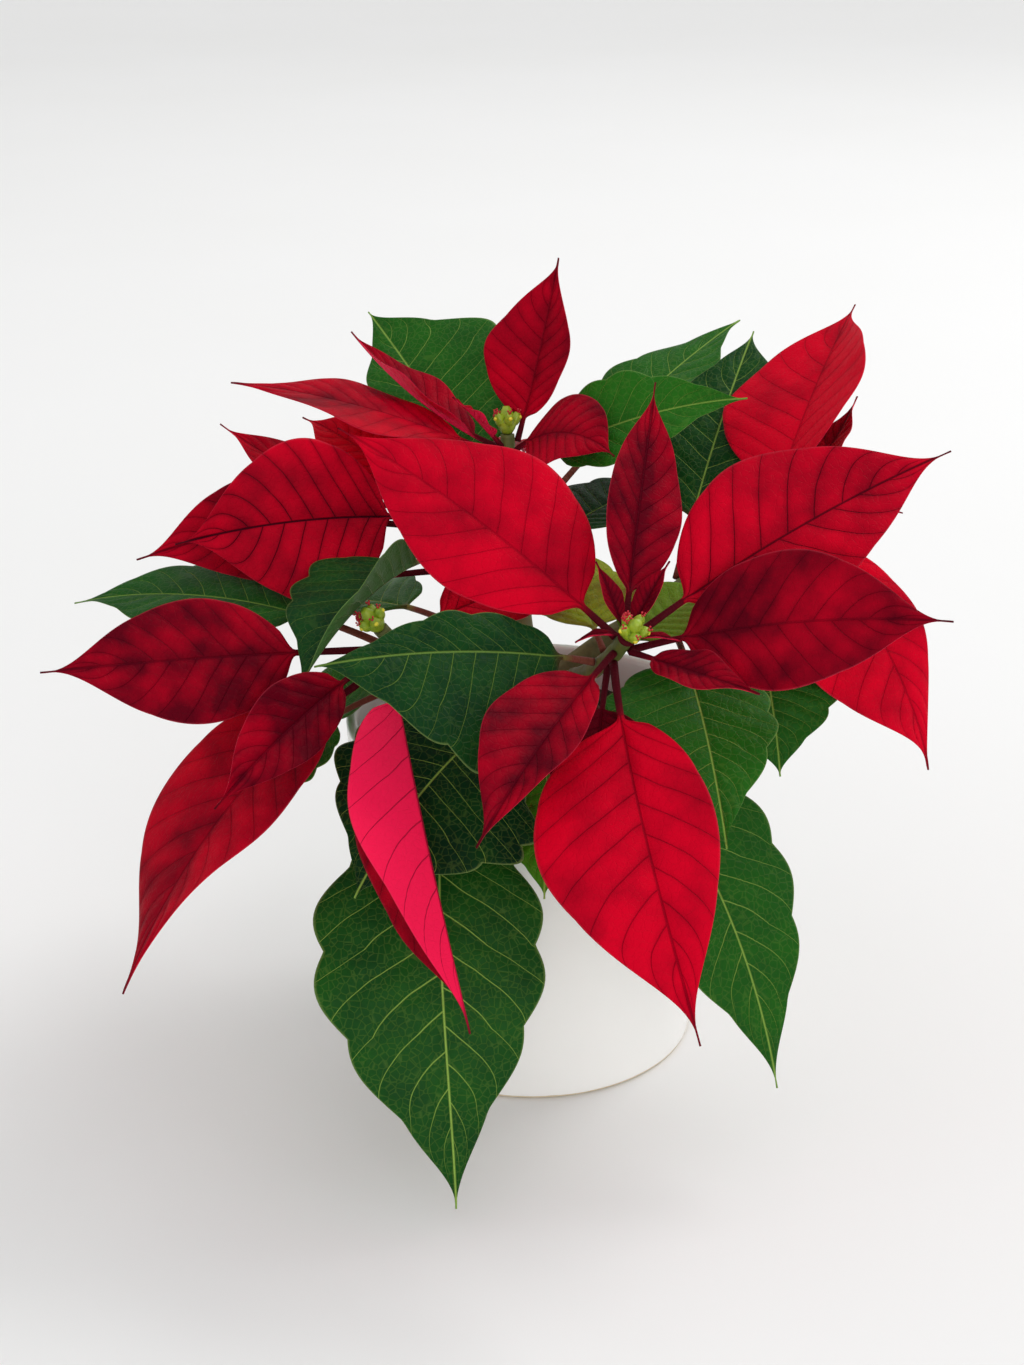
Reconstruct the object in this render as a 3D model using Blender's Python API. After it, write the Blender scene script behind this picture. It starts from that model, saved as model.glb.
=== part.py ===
"""Potted poinsettia: a white pot, its soil, a branching plant with red bracts and green leaves.

Sizes are in millimetres and degrees, and are turned into metres when a mesh is made.
The origin is the centre of the pot's foot, +Z is up and -Y is the front.
"""

import math

import bpy
import numpy as np

MM = 0.001
GAP = 0.3

POT_HEIGHT = 125.0
POT_FOOT_RADIUS = 60.0
POT_RIM_RADIUS = 67.0
POT_WALL = 4.5
POT_FLOOR = 6.0
POT_SIDES = 48

SOIL_LEVEL = 110.0
SOIL_MOUND = 4.0
SOIL_LUMP = 0.6
SOIL_RINGS = [52.0, 40.0, 27.0, 14.0]
STEM_HOLE_RADIUS = 6.0
STEM_HOLE_BOTTOM = 70.0

TRUNK_RADIUS = 5.0
TRUNK_TOP = 137.0
TRUNK_TOP_RADIUS = 4.2
BRANCH_SIDES = 8
BRANCH_STEPS = 9
BRANCH_BASE_RADIUS = 3.6
BRANCH_TIP_RADIUS = 2.6
BRANCH_BEND = 0.38
BRANCH_OUT = 0.75
BRANCH_UP = 0.66

RECEPTACLE_PROFILE = [(1.8, 0.0), (3.8, 4.0), (2.6, 5.5)]
CUP_COUNT = 5
CUP_SIDES = 6
CUP_PROFILE = [(0.9, 0.0), (1.9, 2.4), (1.7, 4.6), (0.8, 5.6)]
BUD_PROFILE = [(1.4, 0.0), (2.0, 4.0), (1.8, 7.0), (0.8, 8.6)]
CUP_ROOT_HEIGHT = 2.6
CUP_ROOT_RADIUS = 1.8
CUP_SPLAY = 0.5
BUD_ROOT_HEIGHT = 3.0
COLLAR_TOP = 1.7
COLLAR_EDGE_RADIUS = 2.9
COLLAR_RADIUS = 3.2

STALK_RADIUS = 1.0
STALK_GROWTH = 0.0035
STALK_TAPER = 0.25
YOUNG_STALK_RADIUS = 0.6
YOUNG_STALK_SHARE = 0.16
YOUNG_ROOT_RADIUS = 1.4
YOUNG_FOLD = 14.0
STALK_STEPS = 2
YOUNG_STEPS = 5
BRACT_STEPS = 9
LEAF_STEPS = 12
BLADE_THICKNESS = 0.7
RIB_THICKNESS = 0.5
STALK_TO_BLADE = 0.06
TIP_HALF_WIDTH = 0.4
RIB_TAPER = 0.7
BRACT_EDGE = (0.39, 3.0, 0.03)
LEAF_EDGE = (0.36, 5.0, 0.12)
SPINE_SAMPLES = 120
ACROSS = np.array([-1.0, -0.5, 0.0, 0.5, 1.0])
ROUND_ANGLES = np.radians([162.0, 126.0, 90.0, 54.0, 18.0])

# Each branch: height where it leaves the trunk, its top in x, y, z, and the way its top points
BRANCHES = {
    "a": (128.0, (29.0, -75.0, 183.0), (0.28, -0.62, 0.73)),
    "b": (122.0, (-51.0, -46.0, 175.0), (-0.50, -0.35, 0.79)),
    "c": (135.0, (-9.0, 48.0, 214.0), (-0.05, 0.15, 0.99)),
    "d": (131.0, (90.0, 12.0, 206.0), (0.60, 0.10, 0.80)),
    "e": (133.0, (-35.0, 18.0, 199.0), (-0.45, 0.10, 0.88)),
}

# Each blade: name, branch, distance below its top, heading, rise, stalk, blade, width, arch, sweep,
# roll, twist, fold, cup, lean. Heading turns from right (0) to away (90); rise is above the
# horizontal, both along the straight line from the stem to the tip. Arch and sweep are the whole
# bend down and to the left along it. Roll lifts the right edge. Fold and cup raise both halves.
# A lean below zero widens the right half and narrows the left.
BRACTS = [
    ("bract_a_upper_left", "a", 4.0, 148, 26, 14, 106, 55, 12, 6, 36, 0, 6, -14, -0.10),
    ("bract_a_top", "a", 2.0, 79, 46, 13, 78, 28, 10, 0, -35, 0, 10, 0, -0.05),
    ("bract_a_upper_right", "a", 6.5, 19, 25, 22, 103, 56, 16, 0, -35, 0, 6, -10, 0.12),
    ("bract_a_right", "a", 9.0, 343, 12, 18, 87, 47, 20, 0, -50, 0, 5, -8, 0.05),
    ("bract_a_lower_right", "a", 3.0, 318, 0, 9, 42, 17, 10, 15, -20, 0, 12, 0, 0.0),
    ("bract_a_front", "a", 11.0, 282, -34, 24, 112, 56, 30, 20, -20, 0, 14, -14, -0.20),
    ("bract_a_lower_left", "a", 6.0, 240, -20, 14, 78, 31, 20, 0, 10, 0, 14, 0, -0.26),
    ("bract_a_behind_front", "a", 15.0, 262, -32, 18, 46, 34, 20, 0, 0, 0, 8, 0, 0.0),
    ("bract_b_left", "b", 8.0, 200, 4, 30, 84, 43, 5, 0, 50, 0, 6, -8, 0.05),
    ("bract_b_lower_left", "b", 13.0, 230, -30, 30, 117, 52, 26, 30, 20, -60, 6, -10, -0.2),
    ("bract_b_narrow", "b", 7.0, 235, -15, 24, 67, 26, 20, 0, 50, 0, 10, 0, -0.1),
    ("bract_b_folded", "b", 3.0, 285, -36, 24, 118, 50, 20, 10, -100, 0, 55, 0, 0.0),
    ("bract_b_inner", "b", 8.0, 20, 12, 14, 60, 34, 20, 0, -20, 0, 10, 0, 0.0),
    ("bract_e_front", "e", 6.0, 294, -40, 8, 42, 20, 20, 0, 0, 0, 8, 0, 0.0),
    ("bract_e_striped", "e", 6.0, 203, 2, 16, 78, 59, 20, 0, 62, 0, 12, -8, 0.05),
    ("bract_e_curled", "e", 10.0, 192, -2, 28, 79, 40, 30, 0, 50, 0, 8, -8, 0.0),
    ("bract_e_thin", "e", 26.0, 195, -4, 24, 78, 34, 10, 0, 20, 0, 8, -8, 0.0),
    ("bract_e_upper", "e", 5.0, 162, 18, 18, 68, 34, -30, 0, 10, 0, 10, 0, 0.0),
    ("bract_e_bright", "e", 3.0, 142, 20, 14, 52, 32, 25, 0, 20, 0, 10, 0, 0.0),
    ("bract_c_left", "c", 8.0, 187, 18, 14, 87, 48, 20, 0, 5, 0, 8, -6, 0.2),
    ("bract_c_upper_left", "c", 5.0, 154, 31, 10, 62, 28, -30, 0, -10, 0, 30, 0, 0.1),
    ("bract_c_top", "c", 3.0, 54, 68, 8, 60, 36, -10, 0, 0, 0, 12, 0, 0.18),
    ("bract_c_right", "c", 6.0, 326, 7, 6, 40, 36, 80, 0, -30, 0, 5, -10, 0.1),
    ("bract_c_narrow", "c", 4.0, 221, 45, 6, 26, 12, 10, 0, 10, 0, 15, 0, 0.0),
    ("bract_c_back", "c", 9.0, 86, -16, 14, 76, 46, 30, 0, 0, 0, 8, -6, 0.0),
    ("bract_d_upper", "d", 5.0, 64, 32, 4, 91, 60, 20, 0, 25, 0, 14, 0, 0.1),
    ("bract_d_small", "d", 8.0, 47, 33, 10, 46, 22, -40, 0, 20, 0, 10, 0, 0.0),
    ("bract_d_lower", "d", 7.0, 316, -47, 22, 89, 50, 60, 36, -20, 0, 6, -8, -0.3),
    ("bract_d_right", "d", 14.0, 22, -4, 12, 44, 34, 40, 0, 0, 0, 8, -6, 0.0),
    ("bract_d_back", "d", 12.0, 75, -22, 18, 66, 40, 30, 0, 0, 0, 8, -6, 0.0),
]
LEAVES = [
    ("leaf_front", "b", 46.0, 273, -50, 50, 135, 74, 70, 30, 0, 0, 6, -16, -0.1),
    ("leaf_front_inner", "a", 70.0, 268, -28, 44, 44, 34, 60, 0, 0, 0, 6, -16, 0.0),
    ("leaf_front_right", "a", 56.0, 309, -47, 36, 118, 57, 50, -12, -10, 0, 6, -12, 0.0),
    ("leaf_right", "d", 62.0, 278, -20, 44, 77, 56, 50, 0, 0, 0, 8, -10, -0.15),
    ("leaf_right_lobed", "d", 30.0, 280, -40, 40, 50, 50, 50, 0, 0, 0, 8, -8, 0.0),
    ("leaf_centre_left", "a", 22.0, 205, 9, 12, 86, 54, 20, 0, 50, 0, 8, -10, 0.5),
    ("leaf_mottled", "a", 20.0, 108, 22, 10, 46, 40, 10, 0, 0, 0, 8, -8, 0.0),
    ("leaf_dark", "e", 20.0, 241, -9, 26, 78, 46, 50, 0, -30, 0, 34, 0, -0.2),
    ("leaf_centre", "a", 60.0, 228, -24, 40, 70, 74, 50, 0, 20, 0, 6, -16, 0.1),
    ("leaf_left", "b", 20.0, 164, 3, 38, 88, 50, 40, 0, 10, 0, 8, -8, 0.0),
    ("leaf_left_low", "b", 30.0, 206, -24, 34, 46, 40, 40, 0, 10, 0, 8, -8, 0.0),
    ("leaf_back_left", "c", 30.0, 122, 29, 28, 88, 72, 10, 0, 26, 0, 8, -8, -0.35),
    ("leaf_back_twisted", "c", 14.0, 355, 20, 14, 74, 38, 30, 0, -40, 0, 10, 0, 0.0),
    ("leaf_inner_dark", "c", 44.0, 45, 7, 20, 62, 48, 20, 0, 0, 0, 8, -8, 0.0),
    ("leaf_back_right_far", "c", 35.0, 47, 24, 40, 98, 46, 20, 0, 0, 0, 8, -8, 0.0),
    ("leaf_back_right", "d", 52.0, 69, 36, 24, 92, 60, 20, 0, 0, 0, 8, -8, -0.2),
    ("leaf_right_inner", "a", 30.0, 39, 16, 14, 46, 40, 10, 0, 0, 0, 8, -8, 0.0),
    ("leaf_back", "c", 62.0, 88, -6, 40, 96, 58, 60, 0, 0, 0, 8, -8, 0.0),
    ("leaf_back_low_left", "e", 56.0, 140, -14, 40, 96, 58, 60, 0, 0, 0, 8, -8, 0.0),
    ("leaf_back_low_right", "d", 78.0, 45, -14, 42, 96, 58, 60, 0, 0, 0, 8, -8, 0.0),
    ("leaf_side_left", "e", 66.0, 182, -20, 40, 62, 54, 60, 0, 0, 0, 8, -8, 0.0),
]
# The small unopened bracts round the front head: heading, rise, length, width, arch
YOUNG_BRACTS = [
    (130, 55, 25, 8, 10),
    (40, 50, 27, 10, 10),
    (180, -8, 16, 5, 56),
    (356, -2, 16, 5, 30),
]


def unit(vector):
    """Vector scaled to length one."""
    vector = np.asarray(vector, dtype=float)
    return vector / np.linalg.norm(vector)


def branch_path(name, samples=60):
    """Points of a branch from the trunk to its top, a cubic that leaves upwards and ends on its axis."""
    height, top, axis = BRANCHES[name]
    start = np.array([0.0, 0.0, height])
    end = np.array(top)
    reach = np.linalg.norm(end - start)
    side = unit([end[0], end[1], 0.0])
    leave = start + BRANCH_BEND * reach * unit(BRANCH_OUT * side + np.array([0.0, 0.0, BRANCH_UP]))
    arrive = end - BRANCH_BEND * reach * unit(axis)
    t = np.linspace(0.0, 1.0, samples)[:, None]
    return ((1 - t) ** 3 * start + 3 * t * (1 - t) ** 2 * leave + 3 * t * t * (1 - t) * arrive + t ** 3 * end)


def branch_point(name, below_top):
    """Point, direction and stem radius on a branch at a distance measured back from its top."""
    path = branch_path(name)
    steps = np.linalg.norm(np.diff(path, axis=0), axis=1)
    from_top = np.concatenate([[0.0], np.cumsum(steps[::-1])])
    path = path[::-1]
    point = np.array([np.interp(below_top, from_top, path[:, k]) for k in range(3)])
    index = min(np.searchsorted(from_top, below_top), len(path) - 2)
    axis = unit(path[index] - path[index + 1])
    share = np.clip(below_top / from_top[-1], 0.0, 1.0)
    radius = BRANCH_TIP_RADIUS + (BRANCH_BASE_RADIUS - BRANCH_TIP_RADIUS) * share
    return point, axis, radius


def blade_outline(along, belly, lobes, lobe_size):
    """Half width as a share of the widest: round base, widest at the belly, drawn out at the tip."""
    along = np.clip(along, 0.0, 1.0)
    warp = math.log(0.5) / math.log(belly)
    shape = np.sin(math.pi * along ** warp) ** (1.0 + 0.5 * along ** 2)
    waves = np.abs(np.sin(math.pi * lobes * along + 0.6)) - 0.6
    return shape * (1.0 + lobe_size * waves)


def leaf_line(length, heading, rise, arch, sweep):
    """Line of a leaf from its root, with its direction, its side and its upward normal."""
    s = np.linspace(0.0, 1.0, SPINE_SAMPLES)
    pitch = np.radians(rise + arch * (0.5 - s))
    turn = np.radians(heading + sweep * (s - 0.5))
    level = np.cos(pitch)
    tangent = np.stack([level * np.cos(turn), level * np.sin(turn), np.sin(pitch)], axis=1)
    middle = 0.5 * (tangent[1:] + tangent[:-1]) * length / (SPINE_SAMPLES - 1)
    line = np.concatenate([np.zeros((1, 3)), np.cumsum(middle, axis=0)])
    side = np.stack([np.sin(turn), -np.cos(turn), np.zeros_like(turn)], axis=1)
    return line, tangent, side, np.cross(side, tangent)


def blade_section(half, fold, cup, v):
    """Upper and lower points across a blade, each half raised by the fold and curled by the cup."""
    u = ACROSS[None, :]
    f = math.radians(fold)
    c = math.radians(cup if cup else 0.1)
    bend = f + c * np.abs(u)
    x = np.sign(u) * half * (np.sin(bend) - math.sin(f)) / c
    y = half * (math.cos(f) - np.cos(bend)) / c
    across = -np.sign(u) * np.sin(bend)
    above = np.where(u == 0.0, 1.0 / math.cos(f), np.cos(bend))
    rib = np.where(u == 0.0, RIB_THICKNESS * (1.0 - RIB_TAPER * v), 0.0)
    top = np.stack([x + 0.5 * BLADE_THICKNESS * across, y + 0.5 * BLADE_THICKNESS * above], axis=-1)
    low = np.stack([x - 0.5 * BLADE_THICKNESS * across, y - 0.5 * BLADE_THICKNESS * above - rib], axis=-1)
    return top, low


def leaf_rings(start, shape, stalk_radius, steps, green):
    """Upper and lower points of a stalk and blade, in rows from the stem to the tip."""
    (heading, rise, stalk, blade, width, arch, sweep, roll, twist, fold, cup, lean) = shape
    length = stalk + blade
    line, tangent, side, up = leaf_line(length, heading, rise, arch, sweep)
    stalk_stations = np.linspace(0.0, stalk / length, STALK_STEPS + 1)[:-1]
    along = np.concatenate([[0.0, 0.04], np.linspace(0.12, 1.0, steps - 1)])
    stations = np.concatenate([stalk_stations, (stalk + blade * along) / length])
    v = np.clip((stations * length - stalk) / blade, 0.0, 1.0)[:, None]
    s = np.linspace(0.0, 1.0, SPINE_SAMPLES)
    line, side, up = [np.stack([np.interp(stations, s, a[:, k]) for k in range(3)], axis=1)
                      for a in (line, side, up)]
    angle = np.radians(roll + twist * v)
    across = side * np.cos(angle) + up * np.sin(angle)
    normal = up * np.cos(angle) - side * np.sin(angle)
    outline = blade_outline(v, *(LEAF_EDGE if green else BRACT_EDGE))
    wide = 0.5 * width * outline * (1.0 - lean * np.sign(ACROSS)[None, :])
    top, low = blade_section(np.maximum(wide, TIP_HALF_WIDTH), fold, cup, v)
    radius = stalk_radius * (1.0 - STALK_TAPER * np.clip(stations * length / stalk, 0.0, 1.0))[:, None]
    flat = np.clip(v / STALK_TO_BLADE, 0.0, 1.0)[..., None]
    half_circle = radius[..., None] * np.stack([np.cos(ROUND_ANGLES), np.sin(ROUND_ANGLES)], axis=-1)
    top = half_circle + flat * (top - half_circle)
    half_circle = half_circle * np.array([1.0, -1.0])
    low = half_circle + flat * (low - half_circle)
    return [start + line[:, None] + across[:, None] * face[..., :1] + normal[:, None] * face[..., 1:]
            for face in (top, low)]


def leaf_mesh(top, low):
    """Points and triangles of a closed blade, its two faces split along the same diagonals."""
    rows, columns = top.shape[:2]
    points = np.concatenate([top.reshape(-1, 3), low.reshape(-1, 3)])
    under = rows * columns
    faces = []
    for i in range(rows - 1):
        for k in range(columns - 1):
            a = i * columns + k
            b = a + 1
            c = a + columns
            d = c + 1
            faces += [(a, b, d), (a, d, c)]
            faces += [(under + a, under + d, under + b), (under + a, under + c, under + d)]
        for k in (0, columns - 1):
            a = i * columns + k
            c = a + columns
            quad = (a, c, under + c, under + a)
            if k:
                quad = quad[::-1]
            faces += [quad[:3], (quad[0], quad[2], quad[3])]
    for i in (0, rows - 1):
        for k in range(columns - 1):
            a = i * columns + k
            quad = (a, under + a, under + a + 1, a + 1)
            if i:
                quad = quad[::-1]
            faces += [quad[:3], (quad[0], quad[2], quad[3])]
    return points, faces


def leaf(row, steps, finish, green):
    """One leaf or bract on its stalk, standing just clear of its branch."""
    name, branch, below_top = row[:3]
    shape = row[3:]
    length = shape[2] + shape[3]
    point, axis, stem_radius = branch_point(branch, below_top)
    tangent = leaf_line(length, shape[0], shape[1], shape[5], shape[6])[1][0]
    outward = unit(tangent - axis * (tangent @ axis))
    stalk_radius = STALK_RADIUS + STALK_GROWTH * length
    start = point + outward * (stem_radius + GAP + stalk_radius * abs(tangent @ axis))
    points, faces = leaf_mesh(*leaf_rings(start, shape, stalk_radius, steps, green))
    new_object(name, points, faces, finish)


def material(name, colour, roughness):
    """Principled material of one plain colour."""
    made = bpy.data.materials.new(name)
    made.use_nodes = True
    shader = made.node_tree.nodes["Principled BSDF"]
    shader.inputs["Base Color"].default_value = (*colour, 1.0)
    shader.inputs["Roughness"].default_value = roughness
    return made


def new_object(name, points, faces, finish):
    """Object of a mesh given in millimetres."""
    mesh = bpy.data.meshes.new(name)
    mesh.from_pydata((np.asarray(points) * MM).tolist(), [], faces)
    mesh.update()
    mesh.materials.append(finish)
    made = bpy.data.objects.new(name, mesh)
    bpy.context.scene.collection.objects.link(made)
    return made


def skin(name, rings, finish):
    """Closed solid through rings of points, each end closed by a fan round the ring's centre."""
    rings = np.asarray(rings)
    count, sides = rings.shape[:2]
    ends = np.stack([rings[0].mean(axis=0), rings[-1].mean(axis=0)])
    points = np.concatenate([rings.reshape(-1, 3), ends])
    last = (count - 1) * sides
    faces = []
    for k in range(sides):
        n = (k + 1) % sides
        faces.append((count * sides, n, k))
        faces.append((last + k, last + n, count * sides + 1))
        for a in range(0, last, sides):
            b = a + sides
            faces += [(a + k, a + n, b + n), (a + k, b + n, b + k)]
    return new_object(name, points, faces, finish)


def ring(centre, axis, radius, sides):
    """Ring of points round an axis."""
    first = unit(np.cross((0.0, 1.0, 0.0), axis))
    second = np.cross(axis, first)
    angles = np.linspace(0.0, 2.0 * math.pi, sides, endpoint=False)[:, None]
    return centre + radius * (np.cos(angles) * first + np.sin(angles) * second)


def upright(profile, sides):
    """Rings round the pot's own axis from pairs of radius and height."""
    return [ring(np.array([0.0, 0.0, height]), np.array([0.0, 0.0, 1.0]), radius, sides)
            for radius, height in profile]


def spindle(centre, axis, profile, sides, finish):
    """Small solid round an axis from pairs of radius and distance along it."""
    axis = unit(axis)
    return skin("piece", [ring(centre + axis * far, axis, radius, sides) for radius, far in profile], finish)


def join(name, pieces):
    """One solid made of pieces that run into each other."""
    main = pieces[0]
    rest = bpy.data.collections.new(name)
    for piece in pieces[1:]:
        rest.objects.link(piece)
    union = main.modifiers.new("union", "BOOLEAN")
    union.operation = "UNION"
    union.operand_type = "COLLECTION"
    union.collection = rest
    union.solver = "EXACT"
    bpy.context.view_layer.update()
    solid = bpy.data.meshes.new_from_object(main.evaluated_get(bpy.context.evaluated_depsgraph_get()))
    main.modifiers.clear()
    main.data = solid
    main.name = name
    for piece in pieces[1:]:
        bpy.data.objects.remove(piece, do_unlink=True)
    bpy.data.collections.remove(rest)
    return main


def pot(finish):
    """Open pot with a flat foot and walls that widen to the rim."""
    profile = [
        (POT_FOOT_RADIUS, 0.0),
        (POT_RIM_RADIUS, POT_HEIGHT),
        (POT_RIM_RADIUS - POT_WALL, POT_HEIGHT),
        (POT_FOOT_RADIUS - POT_WALL, POT_FLOOR),
    ]
    skin("pot", upright(profile, POT_SIDES), finish)


def soil(finish):
    """Earth that fills the pot, lumpy on top, with a plain hole for the stem."""
    inner_foot = POT_FOOT_RADIUS - POT_WALL - GAP
    slope = (POT_RIM_RADIUS - POT_FOOT_RADIUS) / (POT_HEIGHT - POT_FLOOR)
    outer = inner_foot + slope * (SOIL_LEVEL - POT_FLOOR)
    rings = upright([(inner_foot, POT_FLOOR + GAP), (outer, SOIL_LEVEL)], POT_SIDES)
    angles = np.linspace(0.0, 2.0 * math.pi, POT_SIDES, endpoint=False)
    for radius in SOIL_RINGS:
        rise = SOIL_MOUND * (1.0 - (radius / outer) ** 2)
        lumps = SOIL_LUMP * (np.sin(3.0 * angles + radius) + np.cos(7.0 * angles - 0.5 * radius))
        row = upright([(radius, SOIL_LEVEL + rise)], POT_SIDES)[0]
        row[:, 2] += lumps
        rings.append(row)
    hole = [(STEM_HOLE_RADIUS, SOIL_LEVEL + SOIL_MOUND), (STEM_HOLE_RADIUS, STEM_HOLE_BOTTOM)]
    rings += upright(hole, POT_SIDES)
    skin("soil", rings, finish)


def stems(finish):
    """Trunk in its hole and the five branches that leave it."""
    profile = [
        (TRUNK_RADIUS, STEM_HOLE_BOTTOM + GAP),
        (TRUNK_RADIUS, SOIL_LEVEL),
        (TRUNK_TOP_RADIUS, TRUNK_TOP),
    ]
    pieces = [skin("trunk", upright(profile, BRANCH_SIDES), finish)]
    for name in BRANCHES:
        path = branch_path(name, BRANCH_STEPS)
        direction = np.gradient(path, axis=0)
        radii = np.linspace(BRANCH_BASE_RADIUS, BRANCH_TIP_RADIUS, BRANCH_STEPS)
        rings = [ring(path[i], unit(direction[i]), radii[i], BRANCH_SIDES) for i in range(BRANCH_STEPS)]
        pieces.append(skin("branch", rings, finish))
    join("stems", pieces)


def cyathia(name, lift, finish):
    """Tight cluster of small green and yellow cups that is the true flower of one head."""
    top = np.array(BRANCHES[name][1])
    axis = unit(BRANCHES[name][2])
    base = top + axis * lift
    pieces = [spindle(base, axis, RECEPTACLE_PROFILE, CUP_SIDES, finish)]
    first = unit(np.cross((0.0, 1.0, 0.0), axis))
    second = np.cross(axis, first)
    for k in range(CUP_COUNT):
        angle = 2.0 * math.pi * k / CUP_COUNT
        out = math.cos(angle) * first + math.sin(angle) * second
        root = base + axis * CUP_ROOT_HEIGHT + out * CUP_ROOT_RADIUS
        pieces.append(spindle(root, axis + CUP_SPLAY * out, CUP_PROFILE, CUP_SIDES, finish))
    pieces.append(spindle(base + axis * BUD_ROOT_HEIGHT, axis, BUD_PROFILE, CUP_SIDES, finish))
    join("cyathia_" + name, pieces)


def young_bracts(finish):
    """Small unopened bracts on a thin collar under the front head's cups."""
    top = np.array(BRANCHES["a"][1])
    axis = unit(BRANCHES["a"][2])
    half_way = 0.5 * (GAP + COLLAR_TOP)
    collar = [(COLLAR_EDGE_RADIUS, GAP), (COLLAR_RADIUS, half_way), (COLLAR_EDGE_RADIUS, COLLAR_TOP)]
    pieces = [spindle(top, axis, collar, BRANCH_SIDES, finish)]
    middle = top + axis * half_way
    for heading, rise, length, width, arch in YOUNG_BRACTS:
        stalk = YOUNG_STALK_SHARE * length
        shape = (heading, rise, stalk, length - stalk, width, arch, 0, 0, 0, YOUNG_FOLD, 0, 0.0)
        tangent = leaf_line(length, heading, rise, arch, 0)[1][0]
        start = middle + unit(tangent - axis * (tangent @ axis)) * YOUNG_ROOT_RADIUS
        points, faces = leaf_mesh(*leaf_rings(start, shape, YOUNG_STALK_RADIUS, YOUNG_STEPS, False))
        pieces.append(new_object("piece", points, faces, finish))
    join("young_bracts_a", pieces)


for old in list(bpy.data.objects):
    bpy.data.objects.remove(old, do_unlink=True)

glaze = material("white_glaze", (0.85, 0.85, 0.83), 0.25)
earth = material("brown_soil", (0.05, 0.03, 0.02), 0.95)
bark = material("green_stem", (0.15, 0.17, 0.06), 0.6)
red = material("red_bract", (0.45, 0.01, 0.03), 0.5)
green_blade = material("green_leaf", (0.03, 0.12, 0.02), 0.5)
yellow = material("yellow_cup", (0.35, 0.38, 0.04), 0.5)

pot(glaze)
soil(earth)
stems(bark)
for row in BRACTS:
    leaf(row, BRACT_STEPS, red, False)
for row in LEAVES:
    leaf(row, LEAF_STEPS, green_blade, True)
young_bracts(red)
for name in BRANCHES:
    cyathia(name, COLLAR_TOP + GAP if name == "a" else GAP, yellow)
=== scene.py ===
import math

import bpy
import numpy as np
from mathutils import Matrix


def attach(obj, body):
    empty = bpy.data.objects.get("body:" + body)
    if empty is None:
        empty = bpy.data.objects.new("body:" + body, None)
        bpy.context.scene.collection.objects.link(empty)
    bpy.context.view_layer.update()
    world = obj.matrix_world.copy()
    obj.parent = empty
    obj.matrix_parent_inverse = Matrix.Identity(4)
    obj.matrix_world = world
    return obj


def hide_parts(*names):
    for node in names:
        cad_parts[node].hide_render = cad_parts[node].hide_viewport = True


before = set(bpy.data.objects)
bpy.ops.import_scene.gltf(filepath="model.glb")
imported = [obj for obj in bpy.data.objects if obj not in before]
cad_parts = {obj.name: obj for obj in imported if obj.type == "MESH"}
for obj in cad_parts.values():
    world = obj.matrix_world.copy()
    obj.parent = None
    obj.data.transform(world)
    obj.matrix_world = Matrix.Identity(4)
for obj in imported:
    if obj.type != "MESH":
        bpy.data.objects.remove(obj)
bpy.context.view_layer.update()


# Pot
# Slip-cast earthenware, 4.5 mm thick, dipped in white glaze and fired. A thin matt beige line runs
# round the very bottom of the pot, where it stands.
MM = 0.001
POT_HEIGHT = 125.0
POT_FOOT_RADIUS = 60.0
POT_RIM_RADIUS = 67.0
POT_WALL = 4.5
POT_FLOOR = 6.0
POT_SLOPE = (POT_RIM_RADIUS - POT_FOOT_RADIUS) / POT_HEIGHT
FOOT_RECESS = 1.6
FOOT_RING = 7.0
FOOT_BEVEL = 2.0
HEEL_ROUND = 1.2
FLOOR_ROUND = 3.0
WALL_START = 4.0
POT_SIDES = 144


def unit(vectors):
    """Each vector divided by its own length."""
    vectors = np.asarray(vectors, dtype=float)
    return vectors / np.linalg.norm(vectors, axis=-1, keepdims=True)


def linear(hex_colour):
    """Linear colour of an sRGB hex value: c/12.92 below 0.04045, else ((c+0.055)/1.055)^2.4."""
    c = np.array([int(hex_colour[i:i + 2], 16) / 255.0 for i in (1, 3, 5)])
    lit = np.where(c < 0.04045, c / 12.92, ((c + 0.055) / 1.055) ** 2.4)
    return (*lit.tolist(), 1.0)


def spacing(size):
    """Scale of a texture whose features are a size in millimetres apart: 1000/size to the metre."""
    return 1000.0 / size


def add(tree, kind, inputs, **settings):
    """Adds a node with its settings. An input that is another node's output is linked to it."""
    node = tree.nodes.new(kind)
    for key, value in settings.items():
        setattr(node, key, value)
    for key, value in inputs.items():
        if isinstance(value, bpy.types.NodeSocket):
            tree.links.new(value, node.inputs[key])
        else:
            node.inputs[key].default_value = value
    return node


def new_material(name):
    """Empty Principled material with its node tree and shader."""
    made = bpy.data.materials.new(name)
    made.use_nodes = True
    return made, made.node_tree, made.node_tree.nodes["Principled BSDF"]


def skin(rings, flat_ends=False):
    """Faces over rings of points, each joined to the next, each closed on itself. An end is closed
    by a fan round its middle, or, when flat, across from one side to the other."""
    count, sides = rings.shape[:2]
    points = rings.reshape(-1, 3)
    a = (np.arange(count - 1)[:, None] * sides + np.arange(sides)[None, :]).ravel()
    b = (np.arange(count - 1)[:, None] * sides + (np.arange(sides)[None, :] + 1) % sides).ravel()
    faces = np.stack([a, b, b + sides, a + sides], axis=1).tolist()
    last = (count - 1) * sides
    if flat_ends:
        k = np.arange(sides // 2 - 1)
        cap = np.stack([k, sides - 1 - k, sides - 2 - k, k + 1], axis=1)
        faces += cap.tolist() + (cap[:, ::-1] + last).tolist()
    else:
        points = np.concatenate([points, rings[0].mean(axis=0)[None], rings[-1].mean(axis=0)[None]])
        k = np.arange(sides)
        n = (k + 1) % sides
        middle = np.full(sides, len(points) - 2)
        faces += np.stack([middle, n, k], axis=1).tolist()
        faces += np.stack([middle + 1, last + k, last + n], axis=1).tolist()
    return points, faces


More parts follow.
